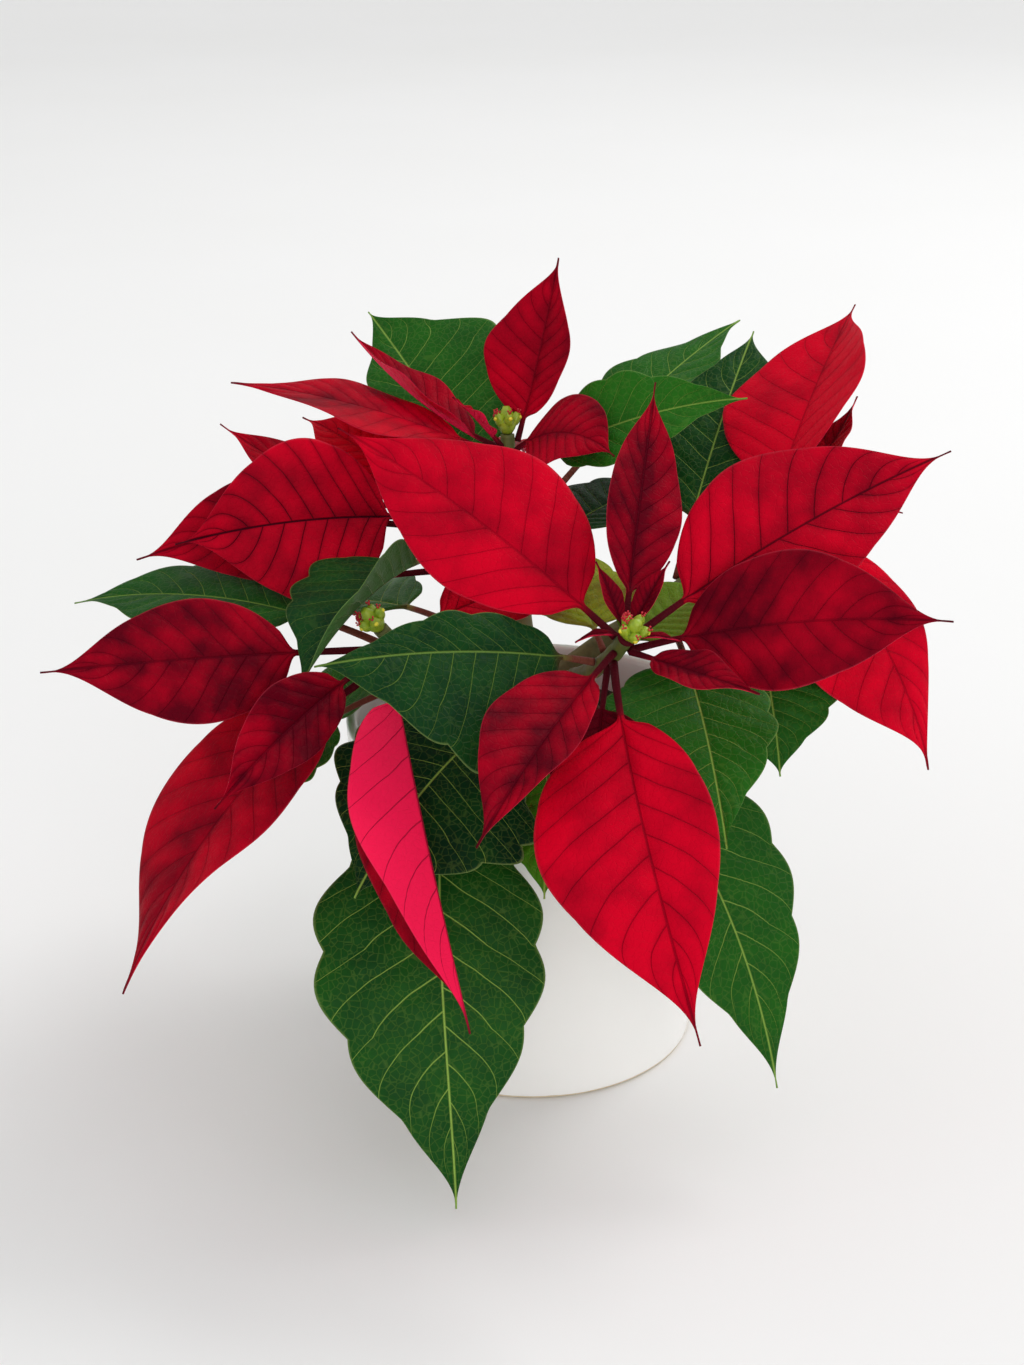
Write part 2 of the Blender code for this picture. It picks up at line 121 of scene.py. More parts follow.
def together(shapes):
    """Points and faces of several shapes as one mesh, each counting on from the shapes before."""
    points, faces, start = [], [], 0
    for some_points, some_faces in shapes:
        points.append(some_points)
        faces += [[index + start for index in face] for face in some_faces]
        start += len(some_points)
    return np.concatenate(points), faces


def round_rings(profile, sides, centre=(0.0, 0.0, 0.0), axis=(0.0, 0.0, 1.0)):
    """Rings from pairs (r, d), radius and place on an axis: centre + d*axis + r*(cos, sin)."""
    profile = np.asarray(profile, dtype=float)
    axis = unit(axis)
    first = unit(np.cross((0.0, 1.0, 0.0), axis))
    second = np.cross(axis, first)
    turn = np.linspace(0.0, 2.0 * math.pi, sides, endpoint=False)[None, :, None]
    spoke = np.cos(turn) * first + np.sin(turn) * second
    return np.asarray(centre) + profile[:, 1, None, None] * axis + profile[:, 0, None, None] * spoke


def piece(name, shape, finish, nodes=(), values=None, maps=None):
    """Smooth mesh object on the root body, with point values and texture maps given per point."""
    points, faces = shape
    mesh = bpy.data.meshes.new(name)
    mesh.from_pydata((points * MM).tolist(), [], faces)
    mesh.polygons.foreach_set("use_smooth", np.ones(len(mesh.polygons), dtype=bool))
    corner = np.empty(len(mesh.loops), dtype=np.int32)
    mesh.loops.foreach_get("vertex_index", corner)
    for key, value in (maps or {}).items():
        mesh.uv_layers.new(name=key).data.foreach_set("uv", value[corner].ravel())
    for key, value in (values or {}).items():
        mesh.attributes.new(key, "FLOAT", "POINT").data.foreach_set("value", value)
    mesh.materials.append(finish)
    made = bpy.data.objects.new(name, mesh)
    bpy.context.scene.collection.objects.link(made)
    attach(made, "root")
    if nodes:
        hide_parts(*nodes)


def arc(centre, radius, first, last, steps):
    """Points (r, z) on part of a circle, from one angle in degrees to another."""
    angle = np.radians(np.linspace(first, last, steps))
    return [(centre[0] + radius * math.cos(a), centre[1] + radius * math.sin(a)) for a in angle]


def pot_profile():
    """Outline (r, z) from the middle of the foot out, up the wall, over the rim and down inside."""
    lip = 0.5 * POT_WALL
    ring = POT_FOOT_RADIUS - FOOT_RING
    inner = POT_FOOT_RADIUS - POT_WALL
    foot = [(ring - FOOT_BEVEL, FOOT_RECESS), (ring, 0.0)]
    heel = arc((POT_FOOT_RADIUS - HEEL_ROUND, HEEL_ROUND), HEEL_ROUND, -90.0, 0.0, 6)
    height = np.linspace(WALL_START, POT_HEIGHT - lip, 24)
    wall = [(POT_FOOT_RADIUS + POT_SLOPE * z, z) for z in height]
    rim = arc((POT_RIM_RADIUS - lip, POT_HEIGHT - lip), lip, 0.0, 180.0, 14)
    inside = [(inner + POT_SLOPE * z, z) for z in height[:0:-1]]
    corner = arc((inner - FLOOR_ROUND, POT_FLOOR + FLOOR_ROUND), FLOOR_ROUND, 0.0, -90.0, 6)
    return foot + heel + wall + rim[1:-1] + inside + corner


# Glazed earthenware: warm off-white and glossy. The line round the bottom, 0.7 to 1.5 mm high, is
# matt beige. The orange peel left by the dip is under 1 mm on the real pot and drawn at 4.5 mm,
# since finer wouldn't show.
glaze, tree, shader = new_material("white_glazed_earthenware")
where = add(tree, "ShaderNodeTexCoord", {}).outputs["Object"]
height = add(tree, "ShaderNodeSeparateXYZ", {0: where}).outputs["Z"]
foot_line_wander = add(tree, "ShaderNodeTexNoise", {"Vector": where, "Scale": spacing(16.67),
                                        "Detail": 2.0}).outputs["Fac"]
edge = add(tree, "ShaderNodeMath", {0: foot_line_wander, 1: 0.0008, 2: 0.0007},
           operation="MULTIPLY_ADD").outputs[0]
above_foot_line = add(tree, "ShaderNodeMath", {0: height, 1: edge}, operation="GREATER_THAN").outputs[0]
peel = add(tree, "ShaderNodeTexNoise", {"Vector": where, "Scale": spacing(4.545),
                                        "Detail": 3.0}).outputs["Fac"]
cloud = add(tree, "ShaderNodeTexNoise", {"Vector": where, "Scale": spacing(40.0)}).outputs["Fac"]
white = add(tree, "ShaderNodeMix", {0: cloud, 6: linear("#F9F8F6"), 7: linear("#F4F3F0")},
            data_type="RGBA")
foot_line_beige = add(tree, "ShaderNodeMix", {0: foot_line_wander, 6: linear("#E0D2BA"), 7: linear("#CDBB9C")},
           data_type="RGBA")
body = add(tree, "ShaderNodeMix", {0: above_foot_line, 6: foot_line_beige.outputs[2], 7: white.outputs[2]},
           data_type="RGBA")
gloss = add(tree, "ShaderNodeMapRange", {0: above_foot_line, 3: 0.75, 4: 0.2}).outputs[0]
bumps = add(tree, "ShaderNodeBump", {"Strength": 0.12, "Distance": 0.0002,
                                     "Height": peel}).outputs[0]
tree.links.new(body.outputs[2], shader.inputs["Base Color"])
tree.links.new(gloss, shader.inputs["Roughness"])
tree.links.new(bumps, shader.inputs["Normal"])
shader.inputs["IOR"].default_value = 1.5

piece("pot_glazed", skin(round_rings(pot_profile(), POT_SIDES)), glaze, ["pot"])


# Soil
# Dark peat-based potting mix, filled to 15 mm below the rim and heaped slightly towards the stem.
# Crumbs of peat and a few white grains of perlite lie on it.
SOIL_LEVEL = 110.0
SOIL_MOUND = 4.0
SOIL_SIDES = 160
SOIL_CLEARANCE = 0.4
SOIL_BOTTOM_INSET = 1.0
STEM_HOLE_RADIUS = 5.6
SOIL_BOTTOM = 96.0
LUMP_HEIGHT = 0.75
LUMP_SEED = 0.7
CRUMBS = 620
GRAINS = 70
SCATTER_INNER = 8.0
SCATTER_OUTER = 57.0
MOUND_RADIUS = 61.0
GOLDEN_ANGLE = 2.39996


def lumps(x, y, seed):
    """Height of crumbled ground: five sets of crossing sine waves, each about half as high as the
    one before and nearly twice as fine."""
    rough = np.zeros_like(x)
    for k in range(5):
        turn = seed + 2.4 * k
        scale = 0.22 * 1.9 ** k
        along = x * math.cos(turn) + y * math.sin(turn)
        over = y * math.cos(turn) - x * math.sin(turn)
        bent = np.sin(scale * along + 1.3 * np.sin(0.6 * scale * over))
        rough += 0.55 ** k * bent * np.cos(scale * over)
    return rough


def soil_surface():
    """Rings from the wall to the stem over a mound, of height level + mound*(1-(r/R)^2) + lumps."""
    outer = POT_FOOT_RADIUS - POT_WALL + SOIL_LEVEL * POT_SLOPE - SOIL_CLEARANCE
    inwards = np.linspace(outer, STEM_HOLE_RADIUS, 46)
    radius = np.concatenate([[outer - SOIL_BOTTOM_INSET, outer], inwards[1:]])
    turn = np.linspace(0.0, 2.0 * math.pi, SOIL_SIDES, endpoint=False)
    x = radius[:, None] * np.cos(turn)
    y = radius[:, None] * np.sin(turn)
    z = SOIL_LEVEL + SOIL_MOUND * (1.0 - (radius[:, None] / outer) ** 2)
    z = z + LUMP_HEIGHT * lumps(x, y, LUMP_SEED)
    z[0] = SOIL_BOTTOM
    rings = np.stack([x, y, z], axis=-1)
    hole = rings[-1:] * np.array([1.0, 1.0, 0.0]) + np.array([0.0, 0.0, SOIL_BOTTOM])
    return np.concatenate([rings, hole])


def pebbles(count, small, large, seed):
    """Small uneven lumps of 5 by 6 points, scattered over the mound on a spiral with jitter."""
    random = np.random.default_rng(seed)
    share = (np.arange(count) + random.random(count)) / count
    radius = SCATTER_INNER + (SCATTER_OUTER - SCATTER_INNER) * np.sqrt(share)
    turn = GOLDEN_ANGLE * np.arange(count) + random.random(count)
    x, y = radius * np.cos(turn), radius * np.sin(turn)
    z = SOIL_LEVEL + SOIL_MOUND * (1.0 - (radius / MOUND_RADIUS) ** 2)
    z = z + LUMP_HEIGHT * lumps(x, y, LUMP_SEED)
    size = random.uniform(small, large, count)
    shapes = []
    rise = np.radians([-75.0, -35.0, 5.0, 40.0, 75.0])
    around = np.linspace(0.0, 2.0 * math.pi, 6, endpoint=False)
    level = np.cos(rise)[:, None]
    whole = np.stack([level * np.cos(around), level * np.sin(around),
                      np.sin(rise)[:, None] * np.ones(6)], axis=-1)
    for k in range(count):
        ball = whole * random.uniform(0.6, 1.0, whole.shape[:2])[..., None]
        ball = ball * random.uniform(0.7, 1.2, 3)
        shapes.append(skin(np.array([x[k], y[k], z[k] + 0.3 * size[k]]) + size[k] * ball))
    return together(shapes)


# Potting mix: near-black brown where moist, lighter on the crumbs that have dried, fully matt.
peat, tree, shader = new_material("moist_potting_mix")
where = add(tree, "ShaderNodeTexCoord", {}).outputs["Object"]
fine = add(tree, "ShaderNodeTexNoise", {"Vector": where, "Scale": spacing(1.4286),
                                        "Detail": 4.0}).outputs["Fac"]
broad = add(tree, "ShaderNodeTexNoise", {"Vector": where, "Scale": spacing(11.11),
                                         "Detail": 3.0}).outputs["Fac"]
mixed = add(tree, "ShaderNodeMath", {0: fine, 1: broad}, operation="MULTIPLY").outputs[0]
shade = add(tree, "ShaderNodeMapRange", {0: mixed, 1: 0.12, 2: 0.42}).outputs[0]
brown = add(tree, "ShaderNodeMix", {0: shade, 6: linear("#1C130D"), 7: linear("#5A4230")},
            data_type="RGBA")
bumps = add(tree, "ShaderNodeBump", {"Strength": 0.9, "Distance": 0.0012,
                                     "Height": fine}).outputs[0]
tree.links.new(brown.outputs[2], shader.inputs["Base Color"])
tree.links.new(bumps, shader.inputs["Normal"])
shader.inputs["Roughness"].default_value = 0.95

# Perlite: expanded volcanic glass, chalk white and crumbly.
perlite, tree, shader = new_material("white_perlite")
where = add(tree, "ShaderNodeTexCoord", {}).outputs["Object"]
pores = add(tree, "ShaderNodeTexNoise", {"Vector": where, "Scale": spacing(0.6667),
                                         "Detail": 2.0}).outputs["Fac"]
chalk = add(tree, "ShaderNodeMix", {0: pores, 6: linear("#B9B2A6"), 7: linear("#EFECE4")},
            data_type="RGBA")
tree.links.new(chalk.outputs[2], shader.inputs["Base Color"])
shader.inputs["Roughness"].default_value = 0.9

piece("soil_surface", skin(soil_surface()), peat, ["soil"])
piece("soil_crumbs", pebbles(CRUMBS, 0.5, 1.7, 3), peat)
piece("soil_perlite", pebbles(GRAINS, 0.6, 1.3, 9), perlite)


# Stems
# One woody trunk in the soil that forks into five branches, one to each flower head. The bark is
# brown at the foot and green above, with a slight swelling at each joint where a leaf grew.
TRUNK_RADIUS = 5.0
TRUNK_START = 97.0
TRUNK_TOP = 137.0
TRUNK_TOP_RADIUS = 4.2
BRANCH_BASE_RADIUS = 3.6
BRANCH_TIP_RADIUS = 2.6
BRANCH_BEND = 0.38
BRANCH_OUT = 0.75
BRANCH_UP = 0.66
JOINT_SWELL = 0.09
STEM_RIB = 0.02
GAP = 0.3
# Each branch: height where it leaves the trunk, its top in x, y, z, and the way its top points
BRANCHES = {
    "a": (128.0, (29.0, -75.0, 183.0), (0.28, -0.62, 0.73)),
    "b": (122.0, (-51.0, -46.0, 175.0), (-0.50, -0.35, 0.79)),
    "c": (135.0, (-9.0, 48.0, 214.0), (-0.05, 0.15, 0.99)),
    "d": (131.0, (90.0, 12.0, 206.0), (0.60, 0.10, 0.80)),
    "e": (133.0, (-35.0, 18.0, 199.0), (-0.45, 0.10, 0.88)),
}


def branch_path(name, samples=60):
    """Cubic from the trunk to the branch's top: leaves up and outwards, ends along its axis."""
    height, top, axis = BRANCHES[name]
    start = np.array([0.0, 0.0, height])
    end = np.array(top)
    reach = np.linalg.norm(end - start)
    side = unit([end[0], end[1], 0.0])
    leave = start + BRANCH_BEND * reach * unit(BRANCH_OUT * side + np.array([0.0, 0.0, BRANCH_UP]))
    arrive = end - BRANCH_BEND * reach * unit(axis)
    t = np.linspace(0.0, 1.0, samples)[:, None]
    first_half = (1 - t) ** 3 * start + 3 * t * (1 - t) ** 2 * leave
    return first_half + 3 * t * t * (1 - t) * arrive + t ** 3 * end


def branch_point(name, below_top):
    """Point, direction and stem radius at a distance measured back from the branch's top."""
    path = branch_path(name)
    steps = np.linalg.norm(np.diff(path, axis=0), axis=1)
    from_top = np.concatenate([[0.0], np.cumsum(steps[::-1])])
    path = path[::-1]
    point = np.array([np.interp(below_top, from_top, path[:, k]) for k in range(3)])
    index = min(np.searchsorted(from_top, below_top), len(path) - 2)
    axis = unit(path[index] - path[index + 1])
    share = np.clip(below_top / from_top[-1], 0.0, 1.0)
    return point, axis, BRANCH_TIP_RADIUS + (BRANCH_BASE_RADIUS - BRANCH_TIP_RADIUS) * share


def stem_tube(path, radii, sides, joints):
    """Tube of rings square to its path. Its radius swells at the joints by narrow humps of a sine,
    and five low ribs run along it."""
    along = np.linspace(0.0, 1.0, len(path))
    hump = np.abs(np.sin(math.pi * joints * along)) ** 24
    radii = radii * (1.0 + JOINT_SWELL * hump)
    direction = unit(np.gradient(path, axis=0))
    first = unit(np.cross((0.0, 1.0, 0.0), direction))
    second = np.cross(direction, first)
    turn = np.linspace(0.0, 2.0 * math.pi, sides, endpoint=False)[None, :, None]
    ribs = 1.0 + STEM_RIB * np.sin(5.0 * turn)
    spoke = np.cos(turn) * first[:, None] + np.sin(turn) * second[:, None]
    return path[:, None] + radii[:, None, None] * ribs * spoke


# Bark: satin, brown and corky below, green and smooth above, with pale lenticels along it.
bark, tree, shader = new_material("green_poinsettia_bark")
where = add(tree, "ShaderNodeTexCoord", {}).outputs["Object"]
height = add(tree, "ShaderNodeSeparateXYZ", {0: where}).outputs["Z"]
speck = add(tree, "ShaderNodeTexNoise", {"Vector": where, "Scale": spacing(2.857),
                                         "Detail": 4.0}).outputs["Fac"]
older = add(tree, "ShaderNodeMapRange", {0: height, 1: 0.115, 2: 0.175}).outputs[0]
young = add(tree, "ShaderNodeMix", {0: speck, 6: linear("#35451A"), 7: linear("#6A6A26")},
            data_type="RGBA")
aged = add(tree, "ShaderNodeMix", {0: speck, 6: linear("#4A3A26"), 7: linear("#8A7550")},
           data_type="RGBA")
coat = add(tree, "ShaderNodeMix", {0: older, 6: aged.outputs[2], 7: young.outputs[2]},
           data_type="RGBA")
bumps = add(tree, "ShaderNodeBump", {"Strength": 0.5, "Distance": 0.0006,
                                     "Height": speck}).outputs[0]
tree.links.new(coat.outputs[2], shader.inputs["Base Color"])
tree.links.new(bumps, shader.inputs["Normal"])
shader.inputs["Roughness"].default_value = 0.6

heights = np.linspace(TRUNK_START, TRUNK_TOP, 60)
trunk = np.stack([0.0 * heights, 0.0 * heights, heights], axis=1)
girth = np.interp(heights, [SOIL_LEVEL, TRUNK_TOP], [TRUNK_RADIUS, TRUNK_TOP_RADIUS])
tubes = [skin(stem_tube(trunk, girth, 28, 3))]
for name in BRANCHES:
    taper = np.linspace(BRANCH_BASE_RADIUS, BRANCH_TIP_RADIUS, 90)
    tubes.append(skin(stem_tube(branch_path(name, 90), taper, 24, 5)))
piece("stems_bark", together(tubes), bark, ["stems"])


# Bracts
# The red leaves round each flower head. Each is a thin satin blade on a maroon stalk, a little
# hollow along its midrib, quilted between its side veins and drawn out to a fine dark tip.
STALK_RADIUS = 1.0
STALK_GROWTH = 0.0035
STALK_TAPER = 0.25
STALK_TO_BLADE = 0.06
STALK_FADE = 4.0
BLADE_THICKNESS = 0.45
TIP_HALF_WIDTH = 0.3
SPINE_SAMPLES = 120
COLUMNS = 41
STALK_ROWS = 9
BLADE_ROWS = 78
VEIN_RISE = 0.19
VEIN_CURVE = 1.05
VEIN_SHIFT = 0.35
BLADE_EASE = 1.12
RIB_HALF_WIDTH = 1.1
RIB_TAPER = 0.75
RIB_ABOVE = 0.45
RIB_BELOW = 0.7
QUILT_CLEAR = 3.0
RIPPLE_TURNS = 14.0
RIPPLE_OFFSET = 1.7
# A margin: where the blade is widest, its lobes, their size, and how far its tip is drawn out
BRACT_EDGE = (0.39, 3.0, 0.03, 0.9)
BRACT_VEINS = 10.0
BRACT_QUILT = 0.5
BRACT_RIPPLE = 0.9
# Each blade: name, branch, distance below its top, heading, rise, stalk, blade, width, arch, sweep,
# roll, twist, fold, cup, lean, then its look: tone from bright (0) to deep (1), and how far its
# veins show. The tone is partly the blade's own colour and partly painted shade, deepest for the
# blades that lie in shadow. Lengths are in millimetres and angles in degrees, and both bend and turn
# the blade as they do in its solid. Lean shifts width from one half to the other.
BRACTS = [
    ("bract_a_upper_left", "a", 4.0, 148, 26, 14, 106, 55, 12, 6, 36, 0, 6, -14, -0.10, 0.20, 0.2),
    ("bract_a_top", "a", 2.0, 79, 46, 13, 78, 28, 10, 0, -35, 0, 10, 0, -0.05, 0.80, 0.4),
    ("bract_a_upper_right", "a", 6.5, 19, 25, 22, 103, 56, 16, 0, -35, 0, 6, -10, 0.12, 0.32, 0.8),
    ("bract_a_right", "a", 9.0, 343, 12, 18, 87, 47, 20, 0, -50, 0, 5, -8, 0.05, 0.74, 0.3),
    ("bract_a_lower_right", "a", 3.0, 318, 0, 9, 42, 17, 10, 15, -20, 0, 12, 0, 0.0, 0.80, 0.3),
    ("bract_a_front", "a", 11.0, 282, -34, 24, 112, 56, 30, 20, -20, 0, 14, -14, -0.20, 0.16, 0.45),
    ("bract_a_lower_left", "a", 6.0, 240, -20, 14, 78, 31, 20, 0, 10, 0, 14, 0, -0.26, 0.75, 0.25),
    ("bract_a_behind_front", "a", 15.0, 262, -32, 18, 46, 34, 20, 0, 0, 0, 8, 0, 0.0, 0.90, 0.3),
    ("bract_b_left", "b", 8.0, 200, 4, 30, 84, 43, 5, 0, 50, 0, 6, -8, 0.05, 0.80, 0.3),
    ("bract_b_lower_left", "b", 13.0, 230, -30, 30, 117, 52, 26, 30, 20, -60, 6, -10, -0.2, 0.55, 0.3),
    ("bract_b_narrow", "b", 7.0, 235, -15, 24, 67, 26, 20, 0, 50, 0, 10, 0, -0.1, 0.80, 0.3),
    ("bract_b_folded", "b", 3.0, 285, -36, 24, 118, 50, 20, 10, -100, 0, 55, 0, 0.0, 0.60, 0.5),
    ("bract_b_inner", "b", 8.0, 20, 12, 14, 60, 34, 20, 0, -20, 0, 10, 0, 0.0, 0.15, 0.6),
    ("bract_e_front", "e", 6.0, 294, -40, 8, 42, 20, 20, 0, 0, 0, 8, 0, 0.0, 1.00, 0.3),
    ("bract_e_striped", "e", 6.0, 203, 2, 16, 78, 59, 20, 0, 62, 0, 12, -8, 0.05, 0.38, 1.0),
    ("bract_e_curled", "e", 10.0, 192, -2, 28, 79, 40, 30, 0, 50, 0, 8, -8, 0.0, 0.55, 0.6),
    ("bract_e_thin", "e", 26.0, 195, -4, 24, 78, 34, 10, 0, 20, 0, 8, -8, 0.0, 0.85, 0.3),
    ("bract_e_upper", "e", 5.0, 162, 18, 18, 68, 34, -30, 0, 10, 0, 10, 0, 0.0, 0.60, 0.3),
    ("bract_e_bright", "e", 3.0, 142, 20, 14, 52, 32, 25, 0, 20, 0, 10, 0, 0.0, 0.20, 0.3),
    ("bract_c_left", "c", 8.0, 187, 18, 14, 87, 48, 20, 0, 5, 0, 8, -6, 0.2, 0.55, 0.3),
    ("bract_c_upper_left", "c", 5.0, 154, 31, 10, 62, 28, -30, 0, -10, 0, 30, 0, 0.1, 0.75, 0.4),
    ("bract_c_top", "c", 3.0, 54, 68, 8, 60, 36, -10, 0, 0, 0, 12, 0, 0.18, 0.50, 0.3),
    ("bract_c_right", "c", 6.0, 326, 7, 6, 40, 36, 80, 0, -30, 0, 5, -10, 0.1, 0.60, 0.3),
    ("bract_c_narrow", "c", 4.0, 221, 45, 6, 26, 12, 10, 0, 10, 0, 15, 0, 0.0, 0.60, 0.3),
    ("bract_c_back", "c", 9.0, 86, -16, 14, 76, 46, 30, 0, 0, 0, 8, -6, 0.0, 0.45, 0.5),
    ("bract_d_upper", "d", 5.0, 64, 32, 4, 91, 60, 20, 0, 25, 0, 14, 0, 0.1, 0.10, 0.3),
    ("bract_d_small", "d", 8.0, 47, 33, 10, 46, 22, -40, 0, 20, 0, 10, 0, 0.0, 0.60, 0.3),
    ("bract_d_lower", "d", 7.0, 316, -47, 22, 89, 50, 60, 36, -20, 0, 6, -8, -0.3, 0.05, 0.3),
    ("bract_d_right", "d", 14.0, 22, -4, 12, 44, 34, 40, 0, 0, 0, 8, -6, 0.0, 0.35, 0.4),
    ("bract_d_back", "d", 12.0, 75, -22, 18, 66, 40, 30, 0, 0, 0, 8, -6, 0.0, 0.50, 0.5),
]


def blade_outline(v, belly, lobes, lobe_size, point):
    """Half width as a share of the widest: sin(pi*v^p)^(1 + v^2/2 + point*v^8), widest at the
    belly, with lobes. The last power draws the tip out to a fine point."""
    warp = math.log(0.5) / math.log(belly)
    waves = np.abs(np.sin(math.pi * lobes * v + 0.6)) - 0.6
    return np.sin(math.pi * np.clip(v, 0.0, 1.0) ** warp) ** (
        1.0 + 0.5 * v ** 2 + point * v ** 8) * (1.0 + lobe_size * waves)


def leaf_line(length, heading, rise, arch, sweep):
    """Line whose pitch falls evenly by the arch and whose heading turns evenly by the sweep."""
    s = np.linspace(0.0, 1.0, SPINE_SAMPLES)
    pitch = np.radians(rise + arch * (0.5 - s))
    turn = np.radians(heading + sweep * (s - 0.5))
    level = np.cos(pitch)
    tangent = np.stack([level * np.cos(turn), level * np.sin(turn), np.sin(pitch)], axis=1)
    middle = 0.5 * (tangent[1:] + tangent[:-1]) * length / (SPINE_SAMPLES - 1)
    line = np.concatenate([np.zeros((1, 3)), np.cumsum(middle, axis=0)])
    side = np.stack([np.sin(turn), -np.cos(turn), np.zeros_like(turn)], axis=1)
    return line, tangent, side, np.cross(side, tangent)


def blade_rings(start, shape, stalk_radius, edge, veins, quilt, ripple, phase):
    """Rings round a stalk that flattens into a blade. Across it, u runs from -1 to 1, and each half
    is an arc raised by fold + cup*|u|. Quilting is |sin| of the vein number, and the margin ripples
    as u^2*sin(v). Returns the rings, u, v and the flat place x, y in millimetres."""
    heading, rise, stalk, blade, width, arch, sweep, roll, twist, fold, cup, lean = shape
    length = stalk + blade
    line, _, side, up = leaf_line(length, heading, rise, arch, sweep)
    v_rows = np.linspace(0.0, 1.0, BLADE_ROWS) ** BLADE_EASE
    stalk_rows = np.linspace(0.0, stalk / length, STALK_ROWS + 1)[:-1]
    stations = np.concatenate([stalk_rows, (stalk + blade * v_rows) / length])
    v = np.clip((stations * length - stalk) / blade, 0.0, 1.0)[:, None]
    s = np.linspace(0.0, 1.0, SPINE_SAMPLES)
    line, side, up = [np.stack([np.interp(stations, s, a[:, k]) for k in range(3)], axis=1)
                      for a in (line, side, up)]
    angle = np.radians(roll + twist * v)
    across = side * np.cos(angle) + up * np.sin(angle)
    normal = up * np.cos(angle) - side * np.sin(angle)

    u = np.linspace(-1.0, 1.0, COLUMNS)[None, :]
    half = 0.5 * width * blade_outline(v, *edge) * (1.0 - lean * np.sign(u))
    half = np.maximum(half, TIP_HALF_WIDTH)
    f = math.radians(fold)
    c = math.radians(cup if cup else 0.1)
    bend = f + c * np.abs(u)
    x = np.sign(u) * half * (np.sin(bend) - math.sin(f)) / c
    y = half * (math.cos(f) - np.cos(bend)) / c
    vein = veins * (v - VEIN_RISE * np.abs(u) ** VEIN_CURVE) + VEIN_SHIFT * (u > 0.0)
    inner = np.clip(np.abs(x) / QUILT_CLEAR, 0.0, 1.0) * (1.0 - np.abs(u) ** 6)
    inner = inner * np.clip(6.0 * (1.0 - v), 0.0, 1.0)
    y = y + quilt * inner * (np.abs(np.sin(math.pi * vein)) ** 0.7 - 0.6)
    wave = np.sin(RIPPLE_TURNS * v + phase + RIPPLE_OFFSET * (u > 0.0))
    y = y + ripple * u ** 2 * wave * np.sin(math.pi * v) ** 0.5
    rib = np.exp(-(x / RIB_HALF_WIDTH) ** 2) * (1.0 - RIB_TAPER * v)
    thin = 0.5 * BLADE_THICKNESS * (1.0 - 0.6 * np.abs(u) ** 8)
    top = np.stack([x, y + thin - RIB_ABOVE * rib], axis=-1)
    low = np.stack([x, y - thin - RIB_BELOW * rib], axis=-1)

    radius = stalk_radius * (1.0 - STALK_TAPER * np.clip(stations * length / stalk, 0.0, 1.0))
    circle = np.radians(np.linspace(174.0, 6.0, COLUMNS))
    half_circle = radius[:, None, None] * np.stack([np.cos(circle), np.sin(circle)], axis=-1)
    flat = np.clip(v / STALK_TO_BLADE, 0.0, 1.0)
    flat = (flat * flat * (3.0 - 2.0 * flat))[..., None]
    top = half_circle + flat * (top - half_circle)
    half_circle = half_circle * np.array([1.0, -1.0])
    low = half_circle + flat * (low - half_circle)
    section = np.concatenate([top, low[:, ::-1]], axis=1)
    rings = start + line[:, None]
    rings = rings + across[:, None] * section[..., :1] + normal[:, None] * section[..., 1:]
    ones = np.ones_like(v)
    u_ring = np.concatenate([ones * u, (ones * u)[:, ::-1]], axis=1)
    flat_x = np.concatenate([half * u, (half * u)[:, ::-1]], axis=1)
    flat_y = (stations * length - stalk)[:, None] + 0.0 * u_ring
    return rings, u_ring, v + 0.0 * u_ring, flat_x, flat_y


def blade_data(u, v, x, y, tone_and_painted_shade, vein_show, stalk):
    """Point values and texture maps of a blade. The second half of each ring is the underside."""
    under = np.zeros_like(u)
    under[:, COLUMNS:] = 1.0
    values = {
        "under": under.ravel(),
        "tone_and_painted_shade": np.full(u.size, tone_and_painted_shade),
        "vein_show": np.full(u.size, vein_show),
        "stalk": np.clip(stalk, 0.0, 1.0).ravel(),
    }
    maps = {
        "blade": np.stack([0.5 + 0.5 * u.ravel(), v.ravel()], axis=1),
        "flat": np.stack([x.ravel(), y.ravel()], axis=1) * MM,
    }
    return values, maps


def blade(row, finish, slot, edge, veins, quilt, ripple, phase):
    """One leaf or bract on its stalk, standing just clear of its branch, with its vein maps."""
    name, branch, below_top = row[:3]
    shape = row[3:15]
    tone_and_painted_shade, vein_show = row[15:]
    length = shape[2] + shape[3]
    point, axis, stem_radius = branch_point(branch, below_top)
    tangent = leaf_line(length, shape[0], shape[1], shape[5], shape[6])[1][0]
    outward = unit(tangent - axis * (tangent @ axis))
    stalk_radius = STALK_RADIUS + STALK_GROWTH * length
    start = point + outward * (stem_radius + GAP + stalk_radius * abs(tangent @ axis))
    rings, u, v, x, y = blade_rings(start, shape, stalk_radius, edge, veins, quilt, ripple, phase)
    stalk = 1.0 - (y + STALK_FADE) / (2.0 * STALK_FADE)
    values, maps = blade_data(u, v, x, y, tone_and_painted_shade, vein_show, stalk)
    piece(name + "_blade", skin(rings, flat_ends=True), finish, [name], values, maps)


def blade_values(tree):
    """The values given per point of a blade: tone with its painted shade, how far its veins show,
    underside and stalk.
    """
    return [add(tree, "ShaderNodeAttribute", {}, attribute_name=key).outputs["Fac"]
            for key in ("tone_and_painted_shade", "vein_show", "under", "stalk")]


